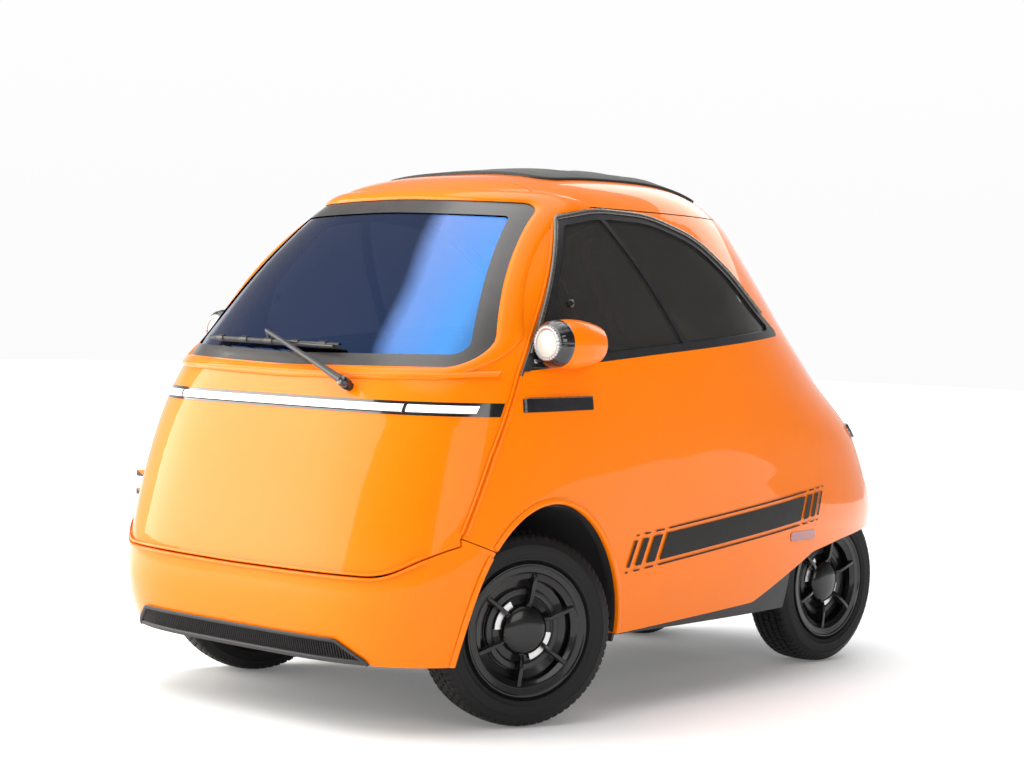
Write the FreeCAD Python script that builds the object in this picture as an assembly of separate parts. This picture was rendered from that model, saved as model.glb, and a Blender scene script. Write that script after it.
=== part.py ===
import FreeCAD, Part

import math
import os

from FreeCAD import Vector

os.makedirs("parts", exist_ok=True)

# Frame: millimetres, +Z up, the front of the car faces -Y, +X is the car's left.
# The origin is on the ground below the middle of the body.

# Overall sizes
LENGTH = 2519.0
HEIGHT = 1496.0
BODY_WIDTH = 1372.0
WHEELBASE = 1566.0
FRONT_AXLE_Y = -724.0

# Wheels
TYRE_RADIUS = 255.5
TYRE_WIDTH = 145.0
RIM_RADIUS = 172.0
RIM_WIDTH = 128.0
FRONT_TRACK = 1120.0
REAR_TRACK = 716.0
KINGPIN_X = 500.0
REST_STEER = 19.0
WHEEL_ROOM = 7.0
SPINDLE_RADIUS = 20.0
SPINDLE_FIT = 0.1
BOSS_REACH = 36.0
FIN_TURN = 8.0

# Walls and gaps
WALL = 34.0
GLASS_THICKNESS = 5.0
GLASS_INSET = 7.0
SHUT_GAP = 5.0
PANEL_GAP = 3.0
SEAT_GAP = 0.3
TUB_WALL = 12.0
SWING_ROOM = 4.0
ROOF_LAP_DEPTH = 14.0

# Wheel arches: the oval opening in the skin and the rounder liner behind it
ARCH_HALF_WIDTH = 285.0
ARCH_HIGH = 390.0
ARCH_OVAL_Z = 200.0
ARCH_RADIUS = 318.0
ARCH_Y = -738.0
ARCH_Z = 262.0
ARCH_LINER = 8.0
LINER_DROP = 18.0
ARCH_INNER_X = 322.0

# Heights
SILL_Z = 225.0
FLOOR_Z = 214.0
FLOOR_PLATE = 22.0
JACK_PAD_X = 420.0
JACK_PAD_HALF = 35.0
JACK_PAD_DROP = 4.0
BUMPER_LOW_Z = 182.0
BUMPER_SEAM_Z = 508.0
TAIL_LOW_Z = 432.0
DECK_Z = 560.0
DECK_PLATE = 14.0
DECK_EDGE = 4.0

# Light bar across the door
BAR_LOW_Z = 814.0
BAR_TOP_Z = 848.0
BAR_END_GAP = 14.0
BAR_DEPTH = 14.0

STEP_Y = 450.0
TUB_RIM_Z = 330.0
SEAT_Z = 415.0
SEAT_HALF = 500.0
SEAT_BACK_Y = 160.0
SEAT_BACK_THICK = 95.0
SEAT_BACK_LENGTH = 590.0
BATTERY_HALF = 400.0
VALANCE_HALF = 235.0
VALANCE_LOW_Z = 300.0
ARM_WINDOW = 70.0
STEER_X = 270.0
STEERING_WHEEL_RADIUS = 165.0

# Lamp and mirror pods
POD_X = 672.0
POD_Y = -740.0
POD_Z = 1003.0
POD_RADIUS = 64.5
LENS_RADIUS = 44.0

# Door hinge axis and tailgate hinge axis
DOOR_HINGE_X = -638.0
DOOR_HINGE_Y = -1041.0
DOOR_HINGE_LOW = (514.0, 566.0)
TAIL_HINGE_Y = 409.0
TAIL_HINGE_Z = 1424.0
HINGE_PIN = 5.0
HINGE_BARREL = 10.0

HALF_LENGTH = LENGTH / 2.0
HALF_WIDTH = BODY_WIDTH / 2.0
REAR_AXLE_Y = FRONT_AXLE_Y + WHEELBASE
AXLE_Z = TYRE_RADIUS

# Horizontal sections of the outer skin, from the bottom up. Each line gives the height,
# the half width, the front reach, the rear reach and the widest place along Y as shares
# of the overall sizes, then how square the front and rear corners are and the tail taper.
SECTIONS = [
    (0.080, 0.930, 0.960, 0.940, -0.476, 3.7, 3.6, 0.25),
    (0.130, 0.970, 0.985, 0.965, -0.476, 3.9, 3.8, 0.252),
    (0.200, 1.000, 1.002, 0.985, -0.476, 4.1, 4.0, 0.245),
    (0.285, 1.010, 0.996, 1.018, -0.476, 3.98, 4.1, 0.236),
    (0.350, 1.011, 0.979, 1.007, -0.474, 3.86, 4.08, 0.24),
    (0.420, 1.006, 0.960, 0.970, -0.468, 3.8, 3.95, 0.245),
    (0.490, 0.998, 0.934, 0.918, -0.458, 3.75, 3.75, 0.212),
    (0.550, 0.981, 0.908, 0.838, -0.448, 3.7, 3.15, 0.15),
    (0.600, 0.962, 0.879, 0.768, -0.436, 3.65, 2.68, 0.06),
    (0.640, 0.942, 0.846, 0.710, -0.424, 3.62, 2.58, 0.0),
    (0.700, 0.907, 0.785, 0.628, -0.408, 3.6, 2.6, 0.0),
    (0.760, 0.868, 0.725, 0.556, -0.394, 3.56, 2.65, 0.0),
    (0.810, 0.826, 0.676, 0.500, -0.365, 3.5, 2.66, 0.0),
    (0.855, 0.777, 0.629, 0.455, -0.325, 3.48, 2.64, 0.0),
    (0.895, 0.729, 0.585, 0.416, -0.270, 3.55, 2.6, 0.0),
    (0.930, 0.671, 0.541, 0.373, -0.215, 3.6, 2.55, 0.0),
    (0.960, 0.590, 0.492, 0.309, -0.160, 3.45, 2.45, 0.0),
    (0.982, 0.470, 0.396, 0.236, -0.100, 2.95, 2.4, 0.0),
    (0.995, 0.315, 0.266, 0.165, -0.050, 2.6, 2.4, 0.0),
    (1.000, 0.165, 0.145, 0.085, -0.020, 2.4, 2.4, 0.0),
]
SECTION_POINTS = 44
SKIRT_DROP = 90.0


# How far each reach is drawn out, so that the smooth skin itself has the overall sizes
reach_scale = {1: HALF_WIDTH, 2: HALF_LENGTH, 3: HALF_LENGTH}


def offset_column(column, depth):
    """Heights and reaches of one profile of the skin, moved inward by depth."""
    scale = reach_scale[column]
    points = [(row[0] * HEIGHT, row[column] * scale) for row in SECTIONS]
    moved = []
    last = len(points) - 1
    for i, (z, reach) in enumerate(points):
        z0, r0 = points[max(i - 1, 0)]
        z1, r1 = points[min(i + 1, last)]
        run = math.hypot(z1 - z0, r1 - r0)
        moved.append((z + depth * (r1 - r0) / run, reach - depth * (z1 - z0) / run))
    return moved


def interpolate(points, z):
    if z <= points[0][0]:
        return points[0][1]
    for (z0, r0), (z1, r1) in zip(points, points[1:]):
        if z <= z1:
            return r0 + (r1 - r0) * (z - z0) / max(z1 - z0, 1e-6)
    return points[-1][1]


def plan_points(half_width, front, rear, widest, front_power, rear_power, taper):
    """Points of one horizontal section, from the middle of the tail round by the left."""
    points = []
    for i in range(SECTION_POINTS):
        angle = 2.0 * math.pi * i / SECTION_POINTS
        c = math.cos(angle)
        s = math.sin(angle)
        power = rear_power if c > 0 else front_power
        reach = rear - widest if c > 0 else front + widest
        along = math.copysign(abs(c) ** (2.0 / power), c)
        across = math.copysign(abs(s) ** (2.0 / power), s)
        narrow = 1.0 - taper * max(along, 0.0) ** 1.5
        points.append((half_width * across * narrow, widest + reach * along))
    return points


def form(depth, skirt=0.0):
    """Closed solid bounded by the skin moved inward by depth, longer at the bottom by skirt."""
    sides = offset_column(1, depth)
    fronts = offset_column(2, depth)
    rears = offset_column(3, depth)
    rows = []
    for row in SECTIONS:
        share = (row[0] - SECTIONS[0][0]) / (1.0 - SECTIONS[0][0])
        z = row[0] * HEIGHT - depth * share ** 3
        points = plan_points(interpolate(sides, z), interpolate(fronts, z), interpolate(rears, z),
                             row[4] * HALF_LENGTH, row[5], row[6], row[7])
        rows.append([Vector(x, y, z) for x, y in points])
    if skirt:
        rows.insert(0, [Vector(v.x, v.y, v.z - skirt) for v in rows[0]])
    surface = Part.BSplineSurface()
    count_u = SECTION_POINTS
    count_v = len(rows)
    poles = [[rows[j][i] for j in range(count_v)] for i in range(count_u)]
    u_knots = [float(i) for i in range(count_u + 1)]
    v_knots = [float(i) for i in range(count_v - 2)]
    v_mults = [4] + [1] * (count_v - 4) + [4]
    surface.buildFromPolesMultsKnots(poles, [1] * (count_u + 1), v_mults, u_knots, v_knots,
                                     True, False, 3, 3)
    skin = surface.toShape()
    ends = []
    for edge in skin.Edges:
        box = edge.BoundBox
        if box.ZLength < 0.01:
            ends.append(Part.Face(Part.Wire([edge])))
    closed = Part.makeShell([skin] + ends)
    closed.sewShape()
    return Part.makeSolid(closed)


def save(name, shape):
    """Write one node, cleaned, and say what it holds."""
    solids = shape.Solids
    whole = solids[0] if len(solids) == 1 else Part.makeCompound(solids)
    whole.exportStep("parts/" + name + ".step")
    print(name, len(solids), whole.isValid(), round(whole.Volume / 1e6, 3))


def rounded_wire(points, radius):
    """Closed wire through points in order, each corner eased by an arc of its radius."""
    radii = radius if isinstance(radius, (list, tuple)) else [radius] * len(points)
    count = len(points)
    starts = []
    ends = []
    mids = []
    for i, corner in enumerate(points):
        back = (points[i - 1] - corner)
        ahead = (points[(i + 1) % count] - corner)
        turn = back.getAngle(ahead)
        reach = 0.0
        if radii[i] > 0 and turn < math.pi - 1e-4:
            reach = radii[i] / math.tan(turn / 2.0)
            reach = min(reach, 0.49 * back.Length, 0.49 * ahead.Length)
        back.normalize()
        ahead.normalize()
        starts.append(corner + back * reach)
        ends.append(corner + ahead * reach)
        if reach > 0:
            arc_radius = reach * math.tan(turn / 2.0)
            middle = (back + ahead).normalize()
            centre = corner + middle * (arc_radius / math.sin(turn / 2.0))
            mids.append(centre - middle * arc_radius)
        else:
            mids.append(None)
    edges = []
    for i in range(count):
        if mids[i] is not None:
            edges.append(Part.Arc(starts[i], mids[i], ends[i]).toShape())
        if (ends[i] - starts[(i + 1) % count]).Length > 1e-6:
            edges.append(Part.LineSegment(ends[i], starts[(i + 1) % count]).toShape())
    return Part.Wire(edges)


def side_prism(points, x0, x1, radius=0.0):
    """Prism along X over an outline given as (y, z)."""
    wire = rounded_wire([Vector(x0, y, z) for y, z in points], radius)
    return Part.Face(wire).extrude(Vector(x1 - x0, 0, 0))


def front_prism(points, y0, y1, radius=0.0):
    """Prism along Y over an outline given as (x, z)."""
    wire = rounded_wire([Vector(x, y0, z) for x, z in points], radius)
    return Part.Face(wire).extrude(Vector(0, y1 - y0, 0))


def plan_prism(points, z0, z1, radius=0.0):
    """Prism along Z over an outline given as (x, y)."""
    wire = rounded_wire([Vector(x, y, z0) for x, y in points], radius)
    return Part.Face(wire).extrude(Vector(0, 0, z1 - z0))


def block(x0, x1, y0, y1, z0, z1):
    return Part.makeBox(x1 - x0, y1 - y0, z1 - z0, Vector(x0, y0, z0))


def rod(start, end, radius):
    run = end - start
    return Part.makeCylinder(radius, run.Length, start, run)


def mirrored(shape):
    return shape.mirror(Vector(0, 0, 0), Vector(1, 0, 0))


def grown(points, step):
    """Outline moved outward by step, for corners listed counter-clockwise."""
    count = len(points)
    moved = []
    for i in range(count):
        x, y = points[i]
        ax, ay = points[i - 1]
        bx, by = points[(i + 1) % count]
        la = math.hypot(x - ax, y - ay)
        lb = math.hypot(bx - x, by - y)
        nax, nay = (y - ay) / la, -(x - ax) / la
        nbx, nby = (by - y) / lb, -(bx - x) / lb
        share = 1.0 + nax * nbx + nay * nby
        moved.append((x + step * (nax + nbx) / share, y + step * (nay + nby) / share))
    return moved


# The skin and its offsets
FAR = 1500.0
drawn = form(0.0).BoundBox
reach_scale[1] *= HALF_WIDTH / drawn.XMax
reach_scale[2] *= -HALF_LENGTH / drawn.YMin
reach_scale[3] *= HALF_LENGTH / drawn.YMax
outer = form(0.0)
inner = form(WALL, SKIRT_DROP)
shell = outer.cut(inner)


def skin_layer(top_depth, low_depth):
    """Solid layer between two depths below the skin."""
    return form(top_depth, SKIRT_DROP / 2.0).cut(form(low_depth, SKIRT_DROP))


# Shut lines. The door is what lies ahead of DOOR_CUT, seen from the side, and above
# DOOR_FOOT, seen from the front. On the hinge side its low end is upright, along the pin.
DOOR_CUT = [(-1040.0, BUMPER_SEAM_Z), (-946.0, 718.0), (-836.0, 922.0), (-557.0, 1338.0),
            (-545.0, 1392.0), (-540.0, 1440.0), (-538.0, FAR)]
HINGE_CUT = [DOOR_CUT[0], (DOOR_HINGE_Y, 622.0)] + DOOR_CUT[2:]
DOOR_FOOT = [(-735.0, 600.0), (-640.0, 495.0), (-520.0, 412.0), (0.0, 408.0),
             (520.0, 412.0), (640.0, 495.0), (735.0, 600.0)]
DOOR_FOOT_RADIUS = [0.0, 90.0, 150.0, 2500.0, 150.0, 90.0, 0.0]


def door_space(gap):
    """All that lies in the door's region, grown by gap."""
    halves = []
    for line, x0, x1 in ((HINGE_CUT, -FAR, 0.0), (DOOR_CUT, 0.0, FAR)):
        cut = [(y + gap, z) for y, z in line]
        side = [(-FAR, 300.0)] + [(cut[0][0], 300.0)] + cut + [(-FAR, FAR)]
        halves.append(side_prism(side, x0, x1))
    seen_side = halves[0].fuse(halves[1])
    foot = [(x, z - gap) for x, z in DOOR_FOOT]
    seen_front = front_prism(foot + [(735.0, FAR), (-735.0, FAR)], -FAR, 0.0,
                             DOOR_FOOT_RADIUS + [0.0, 0.0])
    return seen_side.common(seen_front)


# Windscreen outline, seen from the front
SCREEN = [(-602.0, 938.0), (0.0, 926.0), (602.0, 938.0), (433.0, 1380.0), (0.0, 1392.0),
          (-433.0, 1380.0)]
SCREEN_RADIUS = [62.0, 3000.0, 62.0, 55.0, 3000.0, 55.0]
SCREEN_SEAL = 4.0

# Side window outline, seen from the side
WINDOW = [(-808.0, 931.0), (-300.0, 976.0), (462.0, 1037.0), (318.0, 1116.0), (195.0, 1214.0),
          (42.0, 1309.0), (-170.0, 1364.0), (-380.0, 1368.0), (-548.0, 1340.0)]
WINDOW_RADIUS = [6.0, 3000.0, 10.0, 700.0, 700.0, 500.0, 500.0, 600.0, 26.0]
WINDOW_FRAME = 22.0
PANE_SPLIT = [(-417.0, 1400.0), (-398.0, 1400.0), (-104.0, 960.0), (-123.0, 960.0)]

# Tailgate outline, seen from behind, and the rear window in it
GATE = [(-405.0, 452.0), (405.0, 452.0), (425.0, 600.0), (425.0, 760.0), (352.0, 1300.0),
        (300.0, FAR), (-300.0, FAR), (-352.0, 1300.0), (-425.0, 760.0), (-425.0, 600.0)]
GATE_RADIUS = [60.0, 60.0, 300.0, 300.0, 400.0, 0.0, 0.0, 400.0, 300.0, 300.0]
REAR_GLASS = [(-345.0, 985.0), (345.0, 985.0), (282.0, 1330.0), (-282.0, 1330.0)]
REAR_GLASS_RADIUS = 55.0
GATE_FROM_Y = 330.0

# Air intake in the bumper, seen from the front, open at its low edge
INTAKE = [(-484.0, BUMPER_LOW_Z - 30.0), (484.0, BUMPER_LOW_Z - 30.0), (462.0, 195.0),
          (388.0, 244.0), (-388.0, 244.0), (-462.0, 195.0)]
INTAKE_RADIUS = [0.0, 0.0, 60.0, 24.0, 24.0, 60.0]
INTAKE_INSET = 9.0
INTAKE_PLATE = 13.0

# Roof seam and the fabric top
ROOF_SEAM_Z = 1378.0
TOP_HALF_WIDTH = 335.0
TOP_FRONT_Y = -440.0
TOP_REAR_Y = 300.0
TOP_DEPTH = 18.0

door_box = door_space(0.0)
door_box_wide = door_space(SHUT_GAP)


def gate_space(gap):
    """All that lies in the tailgate's region, grown by gap; its head is square to the skin."""
    seen_rear = front_prism(grown(GATE, gap), GATE_FROM_Y - gap, FAR, GATE_RADIUS)
    head_y = TAIL_HINGE_Y - gap
    lean = 0.5 * (TAIL_HINGE_Z - 1200.0)
    rise = FAR + 50.0 - TAIL_HINGE_Z
    seen_side = side_prism([(head_y - lean, 0.0), (FAR, 0.0), (FAR, FAR + 50.0),
                            (head_y + 0.5 * rise, FAR + 50.0), (head_y, TAIL_HINGE_Z),
                            (head_y - lean, 1200.0)], -FAR, FAR)
    return seen_rear.common(seen_side)


gate_box = gate_space(0.0)
gate_box_wide = gate_space(SHUT_GAP)


def arch_prism(half_wide, high, low_z):
    """Prism along X over a half oval on legs, centred on the front wheel arch."""
    points = [(ARCH_Y - half_wide, 0.0), (ARCH_Y - half_wide, low_z)]
    steps = 24
    for i in range(1, steps):
        angle = math.pi * i / steps
        points.append((ARCH_Y - half_wide * math.cos(angle), low_z + high * math.sin(angle)))
    points.append((ARCH_Y + half_wide, low_z))
    points.append((ARCH_Y + half_wide, 0.0))
    curve = Part.BSplineCurve()
    curve.interpolate([Vector(-FAR, y, z) for y, z in points[1:-1]])
    base = Part.makePolygon([Vector(-FAR, *points[-2]), Vector(-FAR, *points[-1]),
                             Vector(-FAR, *points[0]), Vector(-FAR, *points[1])])
    wire = Part.Wire([curve.toShape()] + base.Edges)
    return Part.Face(wire).extrude(Vector(2.0 * FAR, 0, 0))


arch_space = arch_prism(ARCH_HALF_WIDTH, ARCH_HIGH, ARCH_OVAL_Z)

# Door shell with the windscreen cut out
screen_hole = front_prism(SCREEN, -FAR, -100.0, SCREEN_RADIUS)
door_shell = shell.common(door_box).cut(screen_hole)


def bar_space(gap):
    """Slot of the light bar, grown by gap, its ends along the shut line."""
    seen_front = front_prism(grown([(-FAR, BAR_LOW_Z), (FAR, BAR_LOW_Z), (FAR, BAR_TOP_Z),
                                    (-FAR, BAR_TOP_Z)], gap), -FAR, 0.0)
    ends = [(y - BAR_END_GAP + gap, z) for y, z in DOOR_CUT[1:3]]
    seen_side = side_prism([(-FAR, ends[0][1])] + ends + [(-FAR, ends[1][1])], -FAR, FAR)
    return seen_front.common(seen_side)


light_bar = skin_layer(-1.0, BAR_DEPTH).common(bar_space(0.0))
door_shell = door_shell.cut(form(-5.0).cut(form(BAR_DEPTH + SEAT_GAP, SKIRT_DROP)).common(
    bar_space(SEAT_GAP)))

# Windscreen
screen_pane = front_prism(grown(SCREEN, -SCREEN_SEAL), -FAR, -100.0, SCREEN_RADIUS)
screen_pane = screen_pane.common(door_box)
windscreen = skin_layer(GLASS_INSET, GLASS_INSET + GLASS_THICKNESS).common(screen_pane)
screen_seal = skin_layer(GLASS_INSET - 3.0, GLASS_INSET + GLASS_THICKNESS + 6.0).common(
    front_prism(grown(SCREEN, -SEAT_GAP), -FAR, -100.0, SCREEN_RADIUS)).cut(
    front_prism(grown(SCREEN, -SCREEN_SEAL + SEAT_GAP), -FAR, -100.0, SCREEN_RADIUS))
screen_seal = screen_seal.common(door_box)


# Fabric top and the hole for it in the roof
top_outline = [(-TOP_HALF_WIDTH, TOP_FRONT_Y), (TOP_HALF_WIDTH, TOP_FRONT_Y),
               (TOP_HALF_WIDTH - 45.0, TOP_REAR_Y), (45.0 - TOP_HALF_WIDTH, TOP_REAR_Y)]
top_hole = plan_prism(grown(top_outline, SEAT_GAP), 1000.0, FAR + 200.0, 60.0)
fabric_top = skin_layer(-5.0, TOP_DEPTH).common(
    plan_prism(top_outline, 1300.0, FAR + 200.0, 60.0))

# Body skin behind the door, less the tailgate and the arches
body_skin = shell.cut(door_box_wide).cut(gate_box_wide).cut(arch_space)

# Front bumper
bumper_side = [(-FAR, 0.0), (-880.0, 0.0), (-880.0, 447.0), (-936.0, 470.0),
               (-1040.0 + SHUT_GAP, BUMPER_SEAM_Z), (-FAR, BUMPER_SEAM_Z)]
bumper_box = side_prism(bumper_side, -FAR, FAR)
below_lip = block(-FAR, FAR, -FAR, FAR, 0.0, BUMPER_LOW_Z)
front_bumper = body_skin.common(bumper_box).cut(below_lip)
front_bumper = front_bumper.cut(front_prism(INTAKE, -FAR, -950.0, INTAKE_RADIUS))
intake_grille = skin_layer(INTAKE_INSET, INTAKE_INSET + INTAKE_PLATE).common(
    front_prism(grown(INTAKE, -SEAT_GAP), -FAR, -950.0, INTAKE_RADIUS)).cut(below_lip)

# Side panel, outlined from the side, left half first
side_low = [(-FAR, 0.0), (FAR, 0.0), (FAR, TAIL_LOW_Z), (1060.0, TAIL_LOW_Z), (740.0, 408.0),
            (545.0, 384.0), (205.0, SILL_Z + 32.0), (-430.0, SILL_Z), (-FAR, SILL_Z)]
side_cut = side_prism(side_low, -FAR, FAR, [0.0, 0.0, 0.0, 0.0, 200.0, 120.0, 90.0, 0.0, 0.0])
bumper_grown = [(-FAR, 0.0), (-880.0 + PANEL_GAP, 0.0), (-880.0 + PANEL_GAP, 450.0),
                (-936.0, 473.0), (-1040.0 + SHUT_GAP, BUMPER_SEAM_Z + PANEL_GAP),
                (-FAR, BUMPER_SEAM_Z + PANEL_GAP)]
roof_low = ROOF_SEAM_Z - PANEL_GAP + SEAT_GAP
roof_space = side_prism([(-FAR, roof_low), (FAR, roof_low), (FAR, FAR + 200.0),
                         (-FAR, FAR + 200.0)], -FAR, FAR)
above_lap = side_prism([(-FAR, roof_low - 1.0), (FAR, roof_low - 1.0), (FAR, ROOF_SEAM_Z),
                        (-FAR, ROOF_SEAM_Z)], -FAR, FAR)
roof_wide = side_prism([(-FAR, ROOF_SEAM_Z - PANEL_GAP), (FAR, ROOF_SEAM_Z - PANEL_GAP),
                        (FAR, FAR + 200.0), (-FAR, FAR + 200.0)], -FAR, FAR)
window_hole = side_prism(WINDOW, -FAR, FAR, WINDOW_RADIUS)
left_half = block(SEAT_GAP / 2.0, FAR, -FAR, FAR, 0.0, FAR + 200.0)
right_half = block(-FAR, -SEAT_GAP / 2.0, -FAR, FAR, 0.0, FAR + 200.0)
sides = body_skin.cut(side_cut).cut(side_prism(bumper_grown, -FAR, FAR)).cut(roof_wide)
sides = sides.cut(window_hole)
rear_room_x = (REAR_TRACK + TYRE_WIDTH) / 2.0 + WHEEL_ROOM
rear_wheel_room = rod(Vector(-rear_room_x, REAR_AXLE_Y, AXLE_Z),
                      Vector(rear_room_x, REAR_AXLE_Y, AXLE_Z), TYRE_RADIUS + WHEEL_ROOM)
sides = sides.cut(rear_wheel_room)
side_left = sides.common(left_half)
side_right = sides.common(right_half)

# The roof laps the inner part of the side panels' top edge and rests on it
outer_layer = form(-5.0).cut(form(ROOF_LAP_DEPTH, SKIRT_DROP))
roof_shell = body_skin.common(roof_space).cut(outer_layer.common(above_lap)).cut(top_hole)

# Side glass: a sliding front pane and a fixed rear pane, in a black frame
pane_layer = skin_layer(GLASS_INSET, GLASS_INSET + GLASS_THICKNESS)
frame_layer = skin_layer(0.0, 24.0)
pane_hole = side_prism(grown(WINDOW, -WINDOW_FRAME), 0.0, FAR, WINDOW_RADIUS)
frame_outer = side_prism(grown(WINDOW, -SEAT_GAP), 0.0, FAR, WINDOW_RADIUS)
window_frame = frame_layer.common(frame_outer)
frame_open = side_prism(grown(WINDOW, -WINDOW_FRAME), 0.0, FAR, WINDOW_RADIUS).cut(
    side_prism([(-900.0, 880.0), (-655.0, 880.0), (-655.0, 1000.0), (-640.0, 1320.0),
                (-900.0, 1320.0)], 0.0, FAR))
split_bar = side_prism(PANE_SPLIT, 0.0, FAR)
window_frame = window_frame.cut(frame_open.cut(split_bar))
panes = pane_layer.common(side_prism(grown(WINDOW, -WINDOW_FRAME - SEAT_GAP), 0.0, FAR,
                                     WINDOW_RADIUS))
panes = panes.common(frame_open).cut(side_prism(grown(PANE_SPLIT[::-1], SEAT_GAP), 0.0, FAR))

# Tailgate with its window
glass_hole = front_prism(REAR_GLASS, 0.0, FAR, REAR_GLASS_RADIUS)
tailgate_shell = shell.common(gate_box).cut(glass_hole)
rear_window = skin_layer(2.0, 2.0 + GLASS_THICKNESS).common(
    front_prism(grown(REAR_GLASS, -SEAT_GAP), GATE_FROM_Y, FAR, REAR_GLASS_RADIUS))
lamp_outline = [(-418.0, 716.0), (418.0, 716.0), (418.0, 752.0), (-418.0, 752.0)]
lamp_cut = form(-5.0).cut(form(12.0 + SEAT_GAP, SKIRT_DROP)).common(
    front_prism(grown(lamp_outline, SEAT_GAP), GATE_FROM_Y, FAR))
rear_lamp = skin_layer(-1.0, 12.0).common(front_prism(lamp_outline, GATE_FROM_Y, FAR))
tailgate_shell = tailgate_shell.cut(lamp_cut)


# Floor tub: a flat floor with an upturned edge, open over the front wheels
liner_space = rod(Vector(-FAR, ARCH_Y, ARCH_Z), Vector(FAR, ARCH_Y, ARCH_Z), ARCH_RADIUS)
liner_space = liner_space.fuse(block(-FAR, FAR, ARCH_Y - ARCH_RADIUS, ARCH_Y + ARCH_RADIUS,
                                     100.0, ARCH_Z))
liner_back = rod(Vector(-FAR, ARCH_Y, ARCH_Z), Vector(FAR, ARCH_Y, ARCH_Z),
                 ARCH_RADIUS + ARCH_LINER)
liner_back = liner_back.fuse(block(-FAR, FAR, ARCH_Y - ARCH_RADIUS - ARCH_LINER,
                                   ARCH_Y + ARCH_RADIUS + ARCH_LINER, 100.0, ARCH_Z))
wells = liner_back.cut(block(-ARCH_INNER_X, ARCH_INNER_X, -FAR, FAR, 0.0, FAR))
cavity = form(WALL + SEAT_GAP, SKIRT_DROP)
tub_hollow = form(WALL + SEAT_GAP + TUB_WALL, SKIRT_DROP)
tub_space = block(-FAR, FAR, -FAR, STEP_Y, FLOOR_Z, TUB_RIM_Z)
tub = cavity.common(tub_space).cut(
    tub_hollow.common(block(-FAR, FAR, -FAR, STEP_Y + 1.0, FLOOR_Z + FLOOR_PLATE, FAR)))
wells_wide = rod(Vector(-FAR, ARCH_Y, ARCH_Z), Vector(FAR, ARCH_Y, ARCH_Z),
                 ARCH_RADIUS + ARCH_LINER + SEAT_GAP)
wells_wide = wells_wide.fuse(block(-FAR, FAR, ARCH_Y - ARCH_RADIUS - ARCH_LINER - SEAT_GAP,
                                   ARCH_Y + ARCH_RADIUS + ARCH_LINER + SEAT_GAP, 0.0, ARCH_Z))
wells_wide = wells_wide.cut(block(SEAT_GAP - ARCH_INNER_X, ARCH_INNER_X - SEAT_GAP,
                                  -FAR, FAR, 0.0, FAR))
floor_tub = tub.cut(wells_wide)
for x in (-JACK_PAD_X, JACK_PAD_X):
    floor_tub = floor_tub.fuse(block(x - JACK_PAD_HALF, x + JACK_PAD_HALF, -JACK_PAD_HALF,
                                     JACK_PAD_HALF, FLOOR_Z - JACK_PAD_DROP, FLOOR_Z + 1.0))
floor_tub = floor_tub.removeSplitter()

# Arch liners: a half drum over each front wheel with an inner wall, open at the arms
arm_window = block(-FAR, FAR, FRONT_AXLE_Y - ARM_WINDOW, FRONT_AXLE_Y + ARM_WINDOW,
                   0.0, AXLE_Z + 165.0)
liner_drum = liner_back.cut(liner_space)
liner_wall = liner_back.common(block(ARCH_INNER_X, ARCH_INNER_X + ARCH_LINER, -FAR, FAR,
                                     FLOOR_Z - LINER_DROP, FAR)).cut(arm_window)
liner_left = liner_drum.common(block(ARCH_INNER_X, FAR, -FAR, FAR, FLOOR_Z - LINER_DROP, FAR))
liner_left = liner_left.common(cavity).fuse(liner_wall).removeSplitter()

# Luggage deck behind the seat, over the rear wheels, with its step
deck_plate = cavity.common(block(-FAR, FAR, STEP_Y, FAR, DECK_Z, DECK_Z + DECK_PLATE))
deck_step = cavity.common(block(-FAR, FAR, STEP_Y + SEAT_GAP, STEP_Y + DECK_PLATE,
                                FLOOR_Z, DECK_Z + DECK_PLATE))
luggage_deck = deck_plate.cut(gate_box_wide).fuse(deck_step).removeSplitter()

# The deck's top face stays clear of the walls, which lean in over it
deck_rim = block(-FAR, FAR, STEP_Y + DECK_PLATE + SEAT_GAP, FAR, DECK_Z + DECK_PLATE - 1.0,
                 DECK_Z + DECK_PLATE + 1.0).cut(form(WALL + SEAT_GAP + DECK_EDGE, SKIRT_DROP))
luggage_deck = luggage_deck.cut(deck_rim)

# Rear valance under the tailgate, between the wheels
valance = shell.common(block(-VALANCE_HALF, VALANCE_HALF, REAR_AXLE_Y, FAR,
                             VALANCE_LOW_Z, TAIL_LOW_Z - SEAT_GAP))

# Heavy masses, each one plain block
battery = block(-BATTERY_HALF, BATTERY_HALF, -290.0, 380.0, FLOOR_Z + FLOOR_PLATE + SEAT_GAP,
                FLOOR_Z + FLOOR_PLATE + 165.0)
seat_box_outer = block(-SEAT_HALF, SEAT_HALF, -345.0, STEP_Y - SEAT_GAP,
                       FLOOR_Z + FLOOR_PLATE + SEAT_GAP, SEAT_Z)
seat_box_inner = block(12.0 - SEAT_HALF, SEAT_HALF - 12.0, -333.0, STEP_Y - SEAT_GAP - 12.0,
                       0.0, SEAT_Z - 12.0)
seat_box = seat_box_outer.cut(seat_box_inner)


def soft_block(points, x0, x1, radius, ease):
    """Cushion: an outline given as (y, z), run along X, its ends eased."""
    body = side_prism(points, x0, x1, radius)
    edges = [e for e in body.Edges if e.BoundBox.XLength < 0.1]
    return body.makeFillet(ease, edges)


cushion_points = [(-365.0, SEAT_Z + SEAT_GAP), (SEAT_BACK_Y - 16.0, SEAT_Z + SEAT_GAP),
                  (SEAT_BACK_Y - 1.0, SEAT_Z + 100.0), (-365.0, SEAT_Z + 120.0)]
seat_cushion = soft_block(cushion_points, -SEAT_HALF, SEAT_HALF, 30.0, 24.0)
back_lean = math.radians(14.0)


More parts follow.
